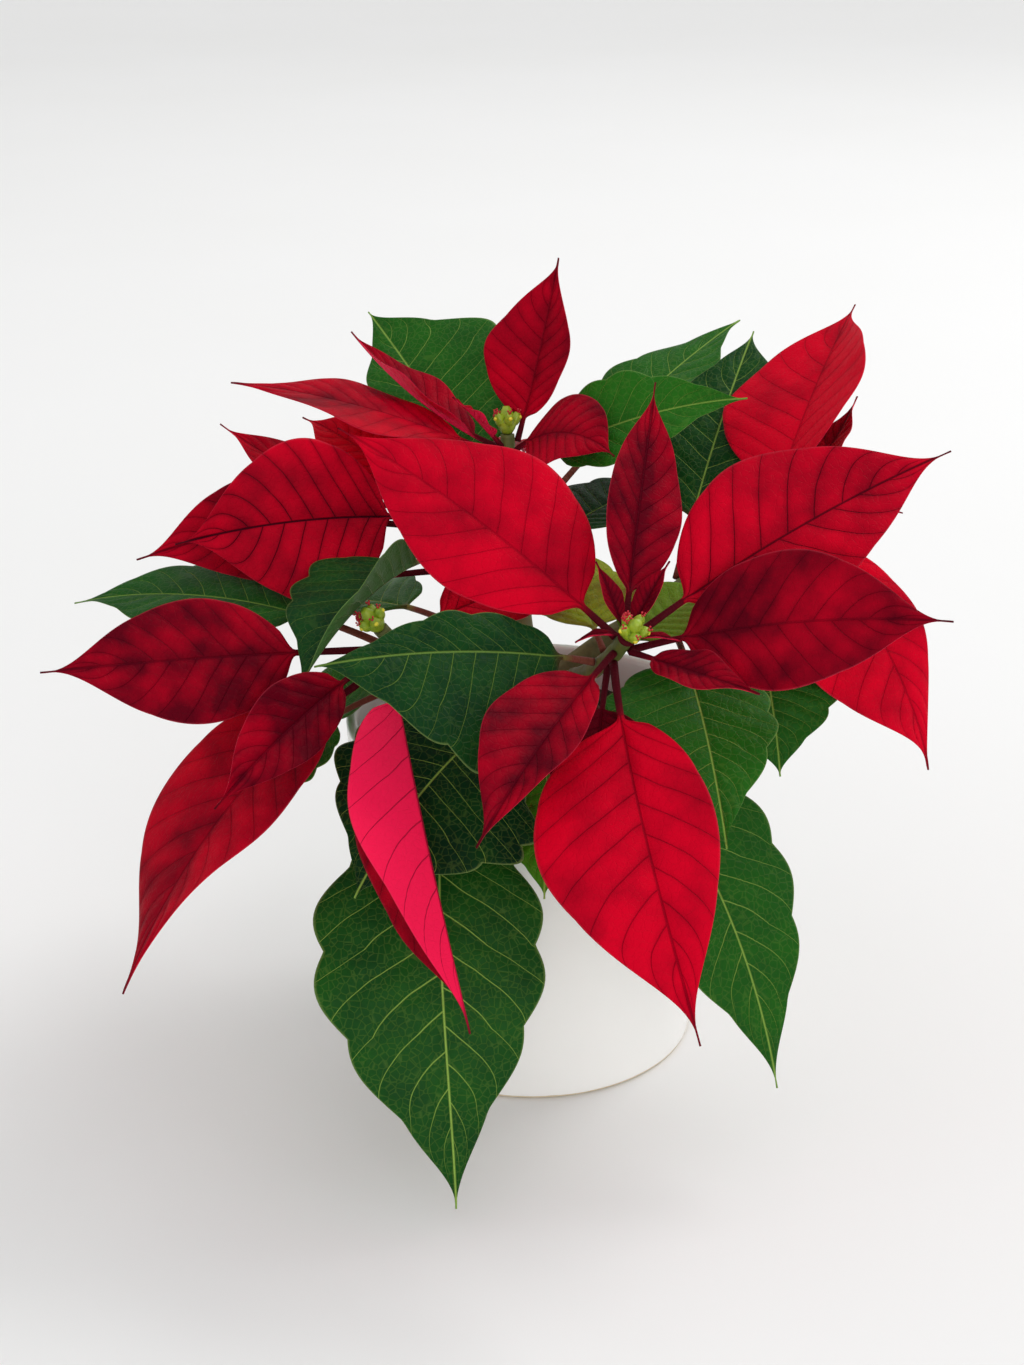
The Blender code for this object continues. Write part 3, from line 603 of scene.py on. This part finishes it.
def vein_nodes(tree, pairs, width):
    """Masks of a leaf's pattern from its maps: the midrib and side veins, the fine net between
    them, the margin, the distance across and along the blade, its flat place for other textures,
    and how far the nearest side vein is."""
    blade_map = add(tree, "ShaderNodeUVMap", {}, uv_map="blade").outputs[0]
    flat_map = add(tree, "ShaderNodeUVMap", {}, uv_map="flat").outputs[0]
    uv = add(tree, "ShaderNodeSeparateXYZ", {0: blade_map})
    place = add(tree, "ShaderNodeSeparateXYZ", {0: flat_map})
    u = add(tree, "ShaderNodeMath", {0: uv.outputs[0], 1: 2.0, 2: -1.0},
            operation="MULTIPLY_ADD").outputs[0]
    side = add(tree, "ShaderNodeMath", {0: u}, operation="ABSOLUTE").outputs[0]
    right = add(tree, "ShaderNodeMath", {0: u, 1: 0.0}, operation="GREATER_THAN").outputs[0]
    curve = add(tree, "ShaderNodeMath", {0: side, 1: VEIN_CURVE}, operation="POWER").outputs[0]
    rise = add(tree, "ShaderNodeMath", {0: curve, 1: -VEIN_RISE, 2: uv.outputs[1]},
               operation="MULTIPLY_ADD")
    count = add(tree, "ShaderNodeMath", {0: rise.outputs[0], 1: pairs},
                operation="MULTIPLY").outputs[0]
    count = add(tree, "ShaderNodeMath", {0: right, 1: VEIN_SHIFT, 2: count},
                operation="MULTIPLY_ADD")
    wander = add(tree, "ShaderNodeTexNoise", {"Vector": flat_map, "Scale": spacing(14.286),
                                              "Detail": 1.0}).outputs[0]
    drift = add(tree, "ShaderNodeMath", {0: wander, 1: 0.16, 2: -0.08},
                operation="MULTIPLY_ADD").outputs[0]
    number = add(tree, "ShaderNodeMath", {0: count.outputs[0], 1: drift},
                 operation="ADD").outputs[0]
    away = add(tree, "ShaderNodeMath", {0: number, 1: 0.5}, operation="PINGPONG").outputs[0]
    narrow = add(tree, "ShaderNodeMapRange", {0: side, 3: 1.25 * width, 4: 0.45 * width}).outputs[0]
    side_vein = add(tree, "ShaderNodeMapRange", {0: away, 1: 0.0, 2: narrow, 3: 1.0, 4: 0.0},
                    interpolation_type="SMOOTHSTEP").outputs[0]
    from_rib = add(tree, "ShaderNodeMath", {0: place.outputs[0]}, operation="ABSOLUTE").outputs[0]
    midrib = add(tree, "ShaderNodeMapRange", {0: from_rib, 1: 0.0001, 2: 0.0006, 3: 1.0, 4: 0.0},
                 interpolation_type="SMOOTHSTEP").outputs[0]
    vein = add(tree, "ShaderNodeMath", {0: side_vein, 1: midrib}, operation="MAXIMUM").outputs[0]
    cells = add(tree, "ShaderNodeTexVoronoi", {"Vector": flat_map, "Scale": spacing(2.381)},
                feature="DISTANCE_TO_EDGE").outputs["Distance"]
    net = add(tree, "ShaderNodeMapRange", {0: cells, 1: 0.0, 2: 0.09, 3: 1.0, 4: 0.0}).outputs[0]
    margin = add(tree, "ShaderNodeMapRange", {0: side, 1: 0.975, 2: 0.995}).outputs[0]
    return {"vein": vein, "net": net, "margin": margin, "side": side, "along": uv.outputs[1],
            "flat": flat_map, "away": away}


def blade_bump(tree, shader, masks, depth):
    """Veins sunk into the blade and the cells between them slightly raised, depth in metres."""
    sunk = add(tree, "ShaderNodeMath", {0: masks["net"], 1: 0.3, 2: masks["vein"]},
               operation="MULTIPLY_ADD")
    crumple = add(tree, "ShaderNodeTexNoise", {"Vector": masks["flat"], "Scale": spacing(6.25),
                                               "Detail": 3.0})
    rough = add(tree, "ShaderNodeMath", {0: crumple.outputs[0], 1: 1.6, 2: sunk.outputs[0]},
                operation="MULTIPLY_ADD").outputs[0]
    bumps = add(tree, "ShaderNodeBump", {"Strength": 0.7, "Distance": depth, "Height": rough},
                invert=True).outputs[0]
    tree.links.new(bumps, shader.inputs["Normal"])


def blade_finish(tree, shader, masks, face, drawn, under, ends, colours, margin_show):
    """Lays a blade's colours over each other: the face with its drawn veins, which on the bracts
    also carry painted shade beside them, the underside with its own, the thin margin, then the
    ends. The colours are those of the veins, the underside, its veins, the margin and the ends."""
    vein, back, back_vein, margin, end = [linear(colour) for colour in colours]
    veined = add(tree, "ShaderNodeMix", {0: drawn, 6: face, 7: vein}, data_type="RGBA").outputs[2]
    lower = add(tree, "ShaderNodeMix", {0: masks["vein"], 6: back, 7: back_vein},
                data_type="RGBA").outputs[2]
    sides = add(tree, "ShaderNodeMix", {0: under, 6: veined, 7: lower}, data_type="RGBA").outputs[2]
    rim = add(tree, "ShaderNodeMath", {0: masks["margin"], 1: margin_show}, operation="MULTIPLY")
    edged = add(tree, "ShaderNodeMix", {0: rim.outputs[0], 6: sides, 7: margin}, data_type="RGBA")
    whole = add(tree, "ShaderNodeMix", {0: ends, 6: edged.outputs[2], 7: end}, data_type="RGBA")
    tree.links.new(whole.outputs[2], shader.inputs["Base Color"])


# Red bract: satin skin over coloured tissue. The upper face is scarlet to deep crimson and clouded,
# with darker veins. Painted shade of the quilting makes it a little lighter midway between the veins
# and darker beside them. The underside is pinker and paler, and the stalk and drawn-out tip are
# maroon.
bract_skin, tree, shader = new_material("satin_red_bract")
masks = vein_nodes(tree, BRACT_VEINS, 0.035)
tone_and_painted_shade, vein_show, under, stalk = blade_values(tree)
blotch = add(tree, "ShaderNodeTexNoise", {"Vector": masks["flat"], "Scale": spacing(11.11),
                                          "Detail": 4.0}).outputs[0]
mottle = add(tree, "ShaderNodeMath", {0: blotch, 1: 0.9, 2: -0.45},
             operation="MULTIPLY_ADD").outputs[0]
centre = add(tree, "ShaderNodeMapRange", {0: masks["side"], 1: 0.0, 2: 0.35, 3: 0.18,
                                          4: 0.0}).outputs[0]
where = add(tree, "ShaderNodeTexCoord", {}).outputs["Object"]
cloud = add(tree, "ShaderNodeTexNoise", {"Vector": where, "Scale": spacing(29.41),
                                         "Detail": 2.0}).outputs["Fac"]
broad = add(tree, "ShaderNodeMath", {0: cloud, 1: 1.4, 2: -0.7},
            operation="MULTIPLY_ADD").outputs[0]
# Painted shade and highlight of the quilting: a little lighter midway between the side veins, darker
# next to them.
painted_quilt_shade = add(tree, "ShaderNodeMapRange", {0: masks["away"], 1: 0.0, 2: 0.45, 3: 0.03,
                                        4: -0.04}).outputs[0]
uneven = add(tree, "ShaderNodeMath", {0: mottle, 1: centre}, operation="ADD").outputs[0]
uneven = add(tree, "ShaderNodeMath", {0: uneven, 1: broad}, operation="ADD").outputs[0]
uneven = add(tree, "ShaderNodeMath", {0: uneven, 1: painted_quilt_shade}, operation="ADD").outputs[0]
# The tone, partly painted shade for bracts that lie in shadow, sets how deep the crimson is.
depth = add(tree, "ShaderNodeMath", {0: tone_and_painted_shade, 1: uneven},
            operation="ADD", use_clamp=True).outputs[0]
face = add(tree, "ShaderNodeMix", {0: depth, 6: linear("#CC0022"), 7: linear("#580012")},
           data_type="RGBA")
# Painted shade beside each side vein, where the quilted blade dips to it, laid on in the vein colour
# together with the veins.
shadow = add(tree, "ShaderNodeMapRange", {0: masks["away"], 1: 0.0, 2: 0.22, 3: 0.25, 4: 0.0},
             interpolation_type="SMOOTHSTEP").outputs[0]
veins_and_painted_shade = add(tree, "ShaderNodeMath", {0: masks["vein"], 1: shadow}, operation="MAXIMUM").outputs[0]
drawn = add(tree, "ShaderNodeMath", {0: veins_and_painted_shade, 1: vein_show}, operation="MULTIPLY").outputs[0]
tip = add(tree, "ShaderNodeMapRange", {0: masks["along"], 1: 0.9, 2: 1.0, 3: 0.0,
                                       4: 0.8}).outputs[0]
dark = add(tree, "ShaderNodeMath", {0: tip, 1: stalk}, operation="MAXIMUM").outputs[0]
blade_finish(tree, shader, masks, face.outputs[2], drawn, under, dark,
             ("#33000F", "#F01A4C", "#B00C34", "#C8384C", "#4B0C17"), 0.35)
shader.inputs["Roughness"].default_value = 0.5
shader.inputs["Specular IOR Level"].default_value = 0.03
blade_bump(tree, shader, masks, 0.0004)

for number, row in enumerate(BRACTS):
    phase = 1.9 * number
    blade(row, bract_skin, "red_bract", BRACT_EDGE, BRACT_VEINS, BRACT_QUILT, BRACT_RIPPLE, phase)


# Green leaves
# The leaves below the heads: broader and tougher, with a few blunt teeth, dark green above with a
# pale net of veins that join near the margin, and dull grey green beneath.
LEAF_EDGE = (0.36, 5.0, 0.12, 0.2)
LEAF_VEINS = 11.0
LEAF_QUILT = 0.6
LEAF_RIPPLE = 1.1
# Same columns as the bracts. Tone runs from bright (0) to deep (1) and is partly the leaf's own green
# and partly painted shade, deepest for leaves that lie in shadow; below zero the leaf is young.
LEAVES = [
    ("leaf_front", "b", 46.0, 273, -50, 50, 135, 74, 70, 30, 0, 0, 6, -16, -0.1, 0.75, 0.9),
    ("leaf_front_inner", "a", 70.0, 268, -28, 44, 44, 34, 60, 0, 0, 0, 6, -16, 0.0, -0.10, 0.8),
    ("leaf_front_right", "a", 56.0, 309, -47, 36, 118, 57, 50, -12, -10, 0, 6, -12, 0.0, 0.60, 0.7),
    ("leaf_right", "d", 62.0, 278, -20, 44, 77, 56, 50, 0, 0, 0, 8, -10, -0.15, 0.45, 0.7),
    ("leaf_right_lobed", "d", 30.0, 280, -40, 40, 50, 50, 50, 0, 0, 0, 8, -8, 0.0, 0.60, 0.6),
    ("leaf_centre_left", "a", 22.0, 205, 9, 12, 86, 54, 20, 0, 50, 0, 8, -10, 0.5, 0.90, 0.4),
    ("leaf_mottled", "a", 20.0, 108, 22, 10, 46, 40, 10, 0, 0, 0, 8, -8, 0.0, -0.80, 0.9),
    ("leaf_dark", "e", 20.0, 241, -9, 26, 78, 46, 50, 0, -30, 0, 34, 0, -0.2, 0.90, 0.4),
    ("leaf_centre", "a", 60.0, 228, -24, 40, 70, 74, 50, 0, 20, 0, 6, -16, 0.1, 0.95, 0.9),
    ("leaf_left", "b", 20.0, 164, 3, 38, 88, 50, 40, 0, 10, 0, 8, -8, 0.0, 0.70, 0.5),
    ("leaf_left_low", "b", 30.0, 206, -24, 34, 46, 40, 40, 0, 10, 0, 8, -8, 0.0, 0.35, 0.8),
    ("leaf_back_left", "c", 30.0, 122, 29, 28, 88, 72, 10, 0, 26, 0, 8, -8, -0.35, 0.55, 0.7),
    ("leaf_back_twisted", "c", 14.0, 355, 20, 14, 74, 38, 30, 0, -40, 0, 10, 0, 0.0, 0.35, 0.6),
    ("leaf_inner_dark", "c", 44.0, 45, 7, 20, 62, 48, 20, 0, 0, 0, 8, -8, 0.0, 0.90, 0.5),
    ("leaf_back_right_far", "c", 35.0, 47, 24, 40, 98, 46, 20, 0, 0, 0, 8, -8, 0.0, 0.50, 0.7),
    ("leaf_back_right", "d", 52.0, 69, 36, 24, 92, 60, 20, 0, 0, 0, 8, -8, -0.2, 0.85, 0.7),
    ("leaf_right_inner", "a", 30.0, 39, 16, 14, 46, 40, 10, 0, 0, 0, 8, -8, 0.0, -0.35, 0.7),
    ("leaf_back", "c", 62.0, 88, -6, 40, 96, 58, 60, 0, 0, 0, 8, -8, 0.0, 0.60, 0.8),
    ("leaf_back_low_left", "e", 56.0, 140, -14, 40, 96, 58, 60, 0, 0, 0, 8, -8, 0.0, 0.50, 0.8),
    ("leaf_back_low_right", "d", 78.0, 45, -14, 42, 96, 58, 60, 0, 0, 0, 8, -8, 0.0, 0.65, 0.8),
    ("leaf_side_left", "e", 66.0, 182, -20, 40, 62, 54, 60, 0, 0, 0, 8, -8, 0.0, 0.45, 0.8),
]

# Green leaf: waxy skin, dark bottle green to fresh green, with thin yellow green veins. How deep the
# green is carries painted shade for leaves in shadow as well as their own colour. The youngest
# leaves, whose tone is below zero, are yellow green with brown blotches. The underside is paler and
# duller, and the stalk is green flushed with maroon.
leaf_skin, tree, shader = new_material("waxy_green_leaf")
masks = vein_nodes(tree, LEAF_VEINS, 0.034)
tone_and_painted_shade, vein_show, under, stalk = blade_values(tree)
blotch = add(tree, "ShaderNodeTexNoise", {"Vector": masks["flat"], "Scale": spacing(16.67),
                                          "Detail": 4.0}).outputs[0]
mottle = add(tree, "ShaderNodeMath", {0: blotch, 1: 0.5, 2: -0.25},
             operation="MULTIPLY_ADD").outputs[0]
depth = add(tree, "ShaderNodeMath", {0: tone_and_painted_shade, 1: mottle},
            operation="ADD", use_clamp=True).outputs[0]
face = add(tree, "ShaderNodeMix", {0: depth, 6: linear("#2A7412"), 7: linear("#062A14")},
           data_type="RGBA")
young = add(tree, "ShaderNodeMapRange", {0: tone_and_painted_shade, 1: 0.0, 2: -1.0}).outputs[0]
face = add(tree, "ShaderNodeMix", {0: young, 6: face.outputs[2], 7: linear("#8E9A1E")},
           data_type="RGBA")
spots = add(tree, "ShaderNodeMapRange", {0: blotch, 1: 0.46, 2: 0.62, 3: 0.0, 4: 0.9}).outputs[0]
flush = add(tree, "ShaderNodeMath", {0: spots, 1: young}, operation="MULTIPLY").outputs[0]
face = add(tree, "ShaderNodeMix", {0: flush, 6: face.outputs[2], 7: linear("#5C3A1C")},
           data_type="RGBA")
fine = add(tree, "ShaderNodeMath", {0: masks["net"], 1: 0.13}, operation="MULTIPLY").outputs[0]
lines = add(tree, "ShaderNodeMath", {0: fine, 1: masks["vein"]}, operation="MAXIMUM").outputs[0]
drawn = add(tree, "ShaderNodeMath", {0: lines, 1: vein_show}, operation="MULTIPLY").outputs[0]
blade_finish(tree, shader, masks, face.outputs[2], drawn, under, stalk,
             ("#8FB04E", "#47703A", "#86A064", "#8DA65C", "#6E3A2E"), 0.4)
shader.inputs["Roughness"].default_value = 0.45
shader.inputs["Specular IOR Level"].default_value = 0.07
blade_bump(tree, shader, masks, 0.0005)

for number, row in enumerate(LEAVES):
    phase = 2.3 * number
    blade(row, leaf_skin, "green_leaf", LEAF_EDGE, LEAF_VEINS, LEAF_QUILT, LEAF_RIPPLE, phase)


# Young bracts
# Four small unopened bracts that stand on a thin collar round the front head's cups, deep crimson.
COLLAR_TOP = 1.7
COLLAR_EDGE_RADIUS = 2.9
COLLAR_RADIUS = 3.2
YOUNG_STALK_RADIUS = 0.6
YOUNG_ROOT_RADIUS = 1.4
YOUNG_STALK_SHARE = 0.16
YOUNG_STALK_FADE = 3.0
YOUNG_FOLD = 14.0
YOUNG_EDGE = (0.39, 3.0, 0.03, 1.5)
YOUNG_VEINS = 5.0
YOUNG_QUILT = 0.1
YOUNG_RIPPLE = 0.2
YOUNG_TONE = 0.85
YOUNG_VEIN_SHOW = 0.3
COLLAR_TONE = 0.8
# Heading, rise, length, width, arch
YOUNG_BRACTS = [
    (130, 55, 25, 8, 10),
    (40, 50, 27, 10, 10),
    (180, -8, 16, 5, 56),
    (356, -2, 16, 5, 30),
]

head_top = np.array(BRANCHES["a"][1])
head_axis = unit(BRANCHES["a"][2])
half_way = 0.5 * (GAP + COLLAR_TOP)
collar = [(COLLAR_EDGE_RADIUS, GAP), (COLLAR_RADIUS, half_way), (COLLAR_EDGE_RADIUS, COLLAR_TOP)]
shapes = [skin(round_rings(collar, 2 * COLUMNS, head_top, head_axis))]
count = len(shapes[0][0])
values = {
    "under": [np.zeros(count)],
    "tone_and_painted_shade": [np.full(count, COLLAR_TONE)],
    "vein_show": [np.zeros(count)],
    "stalk": [np.ones(count)],
}
maps = {"blade": [np.zeros((count, 2))], "flat": [np.zeros((count, 2))]}
for heading, rise, length, width, arch in YOUNG_BRACTS:
    stem = YOUNG_STALK_SHARE * length
    tangent = leaf_line(length, heading, rise, arch, 0)[1][0]
    outward = unit(tangent - head_axis * (tangent @ head_axis))
    start = head_top + head_axis * half_way + outward * YOUNG_ROOT_RADIUS
    form = (heading, rise, stem, length - stem, width, arch, 0, 0, 0, YOUNG_FOLD, 0, 0.0)
    rings, u, v, x, y = blade_rings(start, form, YOUNG_STALK_RADIUS, YOUNG_EDGE, YOUNG_VEINS,
                                    YOUNG_QUILT, YOUNG_RIPPLE, 0.0)
    shapes.append(skin(rings, flat_ends=True))
    stalk = 1.0 - y / YOUNG_STALK_FADE
    some_values, some_maps = blade_data(u, v, x, y, YOUNG_TONE, YOUNG_VEIN_SHOW, stalk)
    for key in values:
        values[key].append(some_values[key])
    for key in maps:
        maps[key].append(some_maps[key])
piece("young_bracts_red", together(shapes), bract_skin, ["young_bracts_a"],
      {key: np.concatenate(parts) for key, parts in values.items()},
      {key: np.concatenate(parts) for key, parts in maps.items()})


# Cyathia
# The true flowers: a tight knot of green cups on each head, each with one yellow lipped gland and
# a tuft of red stamens tipped with pollen. The oldest cup is full of red stamens.
# The green seat that the cups stand on, as radius and height
SEAT_PROFILE = [(1.8, 0.0), (2.9, 1.6), (3.8, 4.0), (3.4, 5.0), (2.4, 5.6)]
CUP_COUNT = 5
CUP_SIZE = 1.8
CUP_SIDES = 20
CUP_LOBES = 0.07
CUP_ROOT_HEIGHT = 2.6
CUP_ROOT_RADIUS = 1.8
CUP_SPLAY = 0.5
MIDDLE_CUP_SIZE = 2.3
MIDDLE_CUP_HEIGHT = 3.0
GLAND_HEIGHT = 3.6
GLAND_OUT = 1.5
GLAND_RADIUS = 0.8
GLAND_LENGTH = 1.3
STAMENS = 3
STAMEN_HEIGHT = 5.0
STAMEN_RADIUS = 0.16
STAMEN_LENGTH = 1.5
POLLEN_RADIUS = 0.36
POLLEN_LENGTH = 0.7
POLLEN_HEIGHT = 1.7
TUFT_CUP = 2
TUFT_HEIGHT = 4.0
TUFT_RADIUS = 1.5
TUFT_STAMENS = 26
TUFT_SPREAD = 1.5
TUFT_BEAD_RADIUS = 0.42
TUFT_BEAD_LENGTH = 1.3


def cup_rings(root, axis, size):
    """Urn with five shallow lobes: a sine profile times 1 + lobes*cos(5*turn), closed on top."""
    height = np.linspace(0.0, 1.0, 14)
    radius = size * (0.42 + 0.62 * np.sin(math.pi * np.clip(height, 0.0, 0.97)) ** 0.8)
    rings = round_rings(np.stack([radius, 3.0 * size * height], axis=1), CUP_SIDES, root, axis)
    middle = rings.mean(axis=1, keepdims=True)
    turn = np.linspace(0.0, 2.0 * math.pi, CUP_SIDES, endpoint=False)[None, :, None]
    return middle + (rings - middle) * (1.0 + CUP_LOBES * np.cos(5.0 * turn))


def bead(centre, axis, radius, length):
    """Egg of a radius and length along an axis, from a half turn of sines."""
    angle = np.linspace(0.06, math.pi - 0.06, 8)
    profile = np.stack([radius * np.sin(angle), -0.5 * length * np.cos(angle)], axis=1)
    return skin(round_rings(profile, 10, centre, axis))


def tissue(name, low, high, size, roughness):
    """Soft plant tissue: two close colours in a cloud of a size in millimetres, with a grain."""
    made, tree, shader = new_material(name)
    where = add(tree, "ShaderNodeTexCoord", {}).outputs["Object"]
    inputs = {"Vector": where, "Scale": spacing(size), "Detail": 3.0}
    cloud = add(tree, "ShaderNodeTexNoise", inputs).outputs["Fac"]
    mix = add(tree, "ShaderNodeMix", {0: cloud, 6: linear(low), 7: linear(high)}, data_type="RGBA")
    bumps = add(tree, "ShaderNodeBump", {"Strength": 0.4, "Distance": 0.0002,
                                         "Height": cloud}).outputs[0]
    tree.links.new(mix.outputs[2], shader.inputs["Base Color"])
    tree.links.new(bumps, shader.inputs["Normal"])
    shader.inputs["Roughness"].default_value = roughness
    return made


# Cups: waxy and yellow green. Glands: wet with nectar, so the glossiest. Stamens: dry and red.
cup_tissue = tissue("waxy_green_cup", "#5E8C18", "#B4C432", 2.0, 0.4)
gland_tissue = tissue("yellow_nectar_gland", "#D6C81E", "#F2E84A", 1.4286, 0.25)
stamen_tissue = tissue("red_stamen", "#A8101E", "#D8283A", 1.1111, 0.5)

for name, (_, top, axis) in BRANCHES.items():
    axis = unit(axis)
    base = np.array(top) + axis * (COLLAR_TOP + GAP if name == "a" else GAP)
    first = unit(np.cross((0.0, 1.0, 0.0), axis))
    second = np.cross(axis, first)
    cups = [skin(round_rings(SEAT_PROFILE, 24, base, axis))]
    glands, stamens = [], []
    for k in range(CUP_COUNT):
        angle = 2.0 * math.pi * k / CUP_COUNT
        out = math.cos(angle) * first + math.sin(angle) * second
        root = base + axis * CUP_ROOT_HEIGHT + out * CUP_ROOT_RADIUS
        lean = unit(axis + CUP_SPLAY * out)
        cups.append(skin(cup_rings(root, lean, CUP_SIZE)))
        place = root + lean * GLAND_HEIGHT + out * GLAND_OUT
        glands.append(bead(place, out + 0.4 * axis, GLAND_RADIUS, GLAND_LENGTH))
        for j in range(STAMENS):
            twist = 2.1 * j + 0.7 * k
            spread = unit(lean + 0.45 * (math.cos(twist) * first + math.sin(twist) * second))
            foot = root + lean * STAMEN_HEIGHT
            reach = np.linspace(0.0, STAMEN_LENGTH, 5)
            thread = np.stack([np.full(5, STAMEN_RADIUS), reach], axis=1)
            stamens.append(skin(round_rings(thread, 6, foot, spread)))
            pollen = foot + spread * POLLEN_HEIGHT
            stamens.append(bead(pollen, spread, POLLEN_RADIUS, POLLEN_LENGTH))
        if k == TUFT_CUP:
            for j in range(TUFT_STAMENS):
                twist = GOLDEN_ANGLE * j
                tilt = TUFT_SPREAD * math.sqrt((j + 0.5) / TUFT_STAMENS)
                aside = math.cos(twist) * first + math.sin(twist) * second
                spread = unit(lean * math.cos(tilt) + aside * math.sin(tilt))
                place = root + lean * TUFT_HEIGHT + spread * TUFT_RADIUS
                stamens.append(bead(place, spread, TUFT_BEAD_RADIUS, TUFT_BEAD_LENGTH))
    cups.append(skin(cup_rings(base + axis * MIDDLE_CUP_HEIGHT, axis, MIDDLE_CUP_SIZE)))
    piece("cyathia_%s_cups" % name, together(cups), cup_tissue, ["cyathia_" + name])
    piece("cyathia_%s_glands" % name, together(glands), gland_tissue)
    piece("cyathia_%s_stamens" % name, together(stamens), stamen_tissue)


# Floor, light and camera
# A seamless pale studio sweep, a large soft light above and behind to the right, a weak fill from
# the front, and the camera above the front, 58 mm on a 36 mm frame, looking 23 degrees down.
# Radii and places here are in metres, the pitch in degrees, the lens and frame in millimetres.
FLOOR_RADIUS = 3.0
FLOOR_SIDES = 96
SWEEP_RADIUS = 2.0
SKY_STRENGTH = 0.76
CAMERA_PLACE = (-0.0073, -0.7249, 0.4438)
CAMERA_PITCH = 23.0
CAMERA_LENS = 58.0
CAMERA_FRAME = 36.0

rise = np.radians(np.linspace(0.0, 80.0, 24))
sweep = [(0.01, 0.0), (0.6, 0.0), (FLOOR_RADIUS, 0.0)]
sweep += [(FLOOR_RADIUS + SWEEP_RADIUS * math.sin(a), SWEEP_RADIUS * (1.0 - math.cos(a)))
          for a in rise[1:]]
rings = round_rings(sweep, FLOOR_SIDES)[::-1]
start = np.arange(len(rings) - 1)[:, None] * FLOOR_SIDES
a = (start + np.arange(FLOOR_SIDES)).ravel()
b = (start + (np.arange(FLOOR_SIDES) + 1) % FLOOR_SIDES).ravel()
quads = np.stack([a, b, b + FLOOR_SIDES, a + FLOOR_SIDES], axis=1).tolist()
quads.append(list(range((len(rings) - 1) * FLOOR_SIDES, len(rings) * FLOOR_SIDES)))
mesh = bpy.data.meshes.new("studio_floor")
mesh.from_pydata(rings.reshape(-1, 3).tolist(), [], quads)
mesh.polygons.foreach_set("use_smooth", np.ones(len(mesh.polygons), dtype=bool))
floor = bpy.data.objects.new("studio_floor", mesh)
bpy.context.scene.collection.objects.link(floor)

# Matt studio paper, a shade lighter in places.
paper, tree, shader = new_material("matt_studio_paper")
where = add(tree, "ShaderNodeTexCoord", {}).outputs["Object"]
grain = add(tree, "ShaderNodeTexNoise", {"Vector": where, "Scale": spacing(333.33)}).outputs["Fac"]
pale = add(tree, "ShaderNodeMix", {0: grain, 6: linear("#EFEFEE"), 7: linear("#F2F2F2")},
           data_type="RGBA")
tree.links.new(pale.outputs[2], shader.inputs["Base Color"])
shader.inputs["Roughness"].default_value = 0.95
mesh.materials.append(paper)

# The standard view keeps the saturated reds, which the default one greys.
bpy.context.scene.view_settings.view_transform = "Standard"
world = bpy.data.worlds.new("studio")
world.use_nodes = True
world.node_tree.nodes["Background"].inputs["Color"].default_value = linear("#FFFFFF")
world.node_tree.nodes["Background"].inputs["Strength"].default_value = SKY_STRENGTH
bpy.context.scene.world = world


def soft_light(name, place, target, size, power):
    """Square area light aimed at a point, its -Z axis along the line from it to the point."""
    lamp = bpy.data.lights.new(name, "AREA")
    lamp.size = size
    lamp.energy = power
    made = bpy.data.objects.new(name, lamp)
    away = np.array(place) - np.array(target)
    pitch = math.atan2(math.hypot(away[0], away[1]), away[2])
    made.rotation_euler = (pitch, 0.0, math.atan2(away[1], away[0]) + 0.5 * math.pi)
    made.location = place
    bpy.context.scene.collection.objects.link(made)


soft_light("key", (1.7, 1.3, 2.6), (0.0, 0.0, 0.15), 1.6, 38.0)
soft_light("fill", (0.5, -2.4, 0.9), (0.0, 0.0, 0.1), 1.6, 16.0)

lens = bpy.data.cameras.new("camera")
lens.lens = CAMERA_LENS
lens.sensor_width = CAMERA_FRAME
lens.sensor_fit = "AUTO"
camera = bpy.data.objects.new("camera", lens)
camera.location = CAMERA_PLACE
camera.rotation_euler = (math.radians(90.0 - CAMERA_PITCH), 0.0, 0.0)
bpy.context.scene.collection.objects.link(camera)
bpy.context.scene.camera = camera
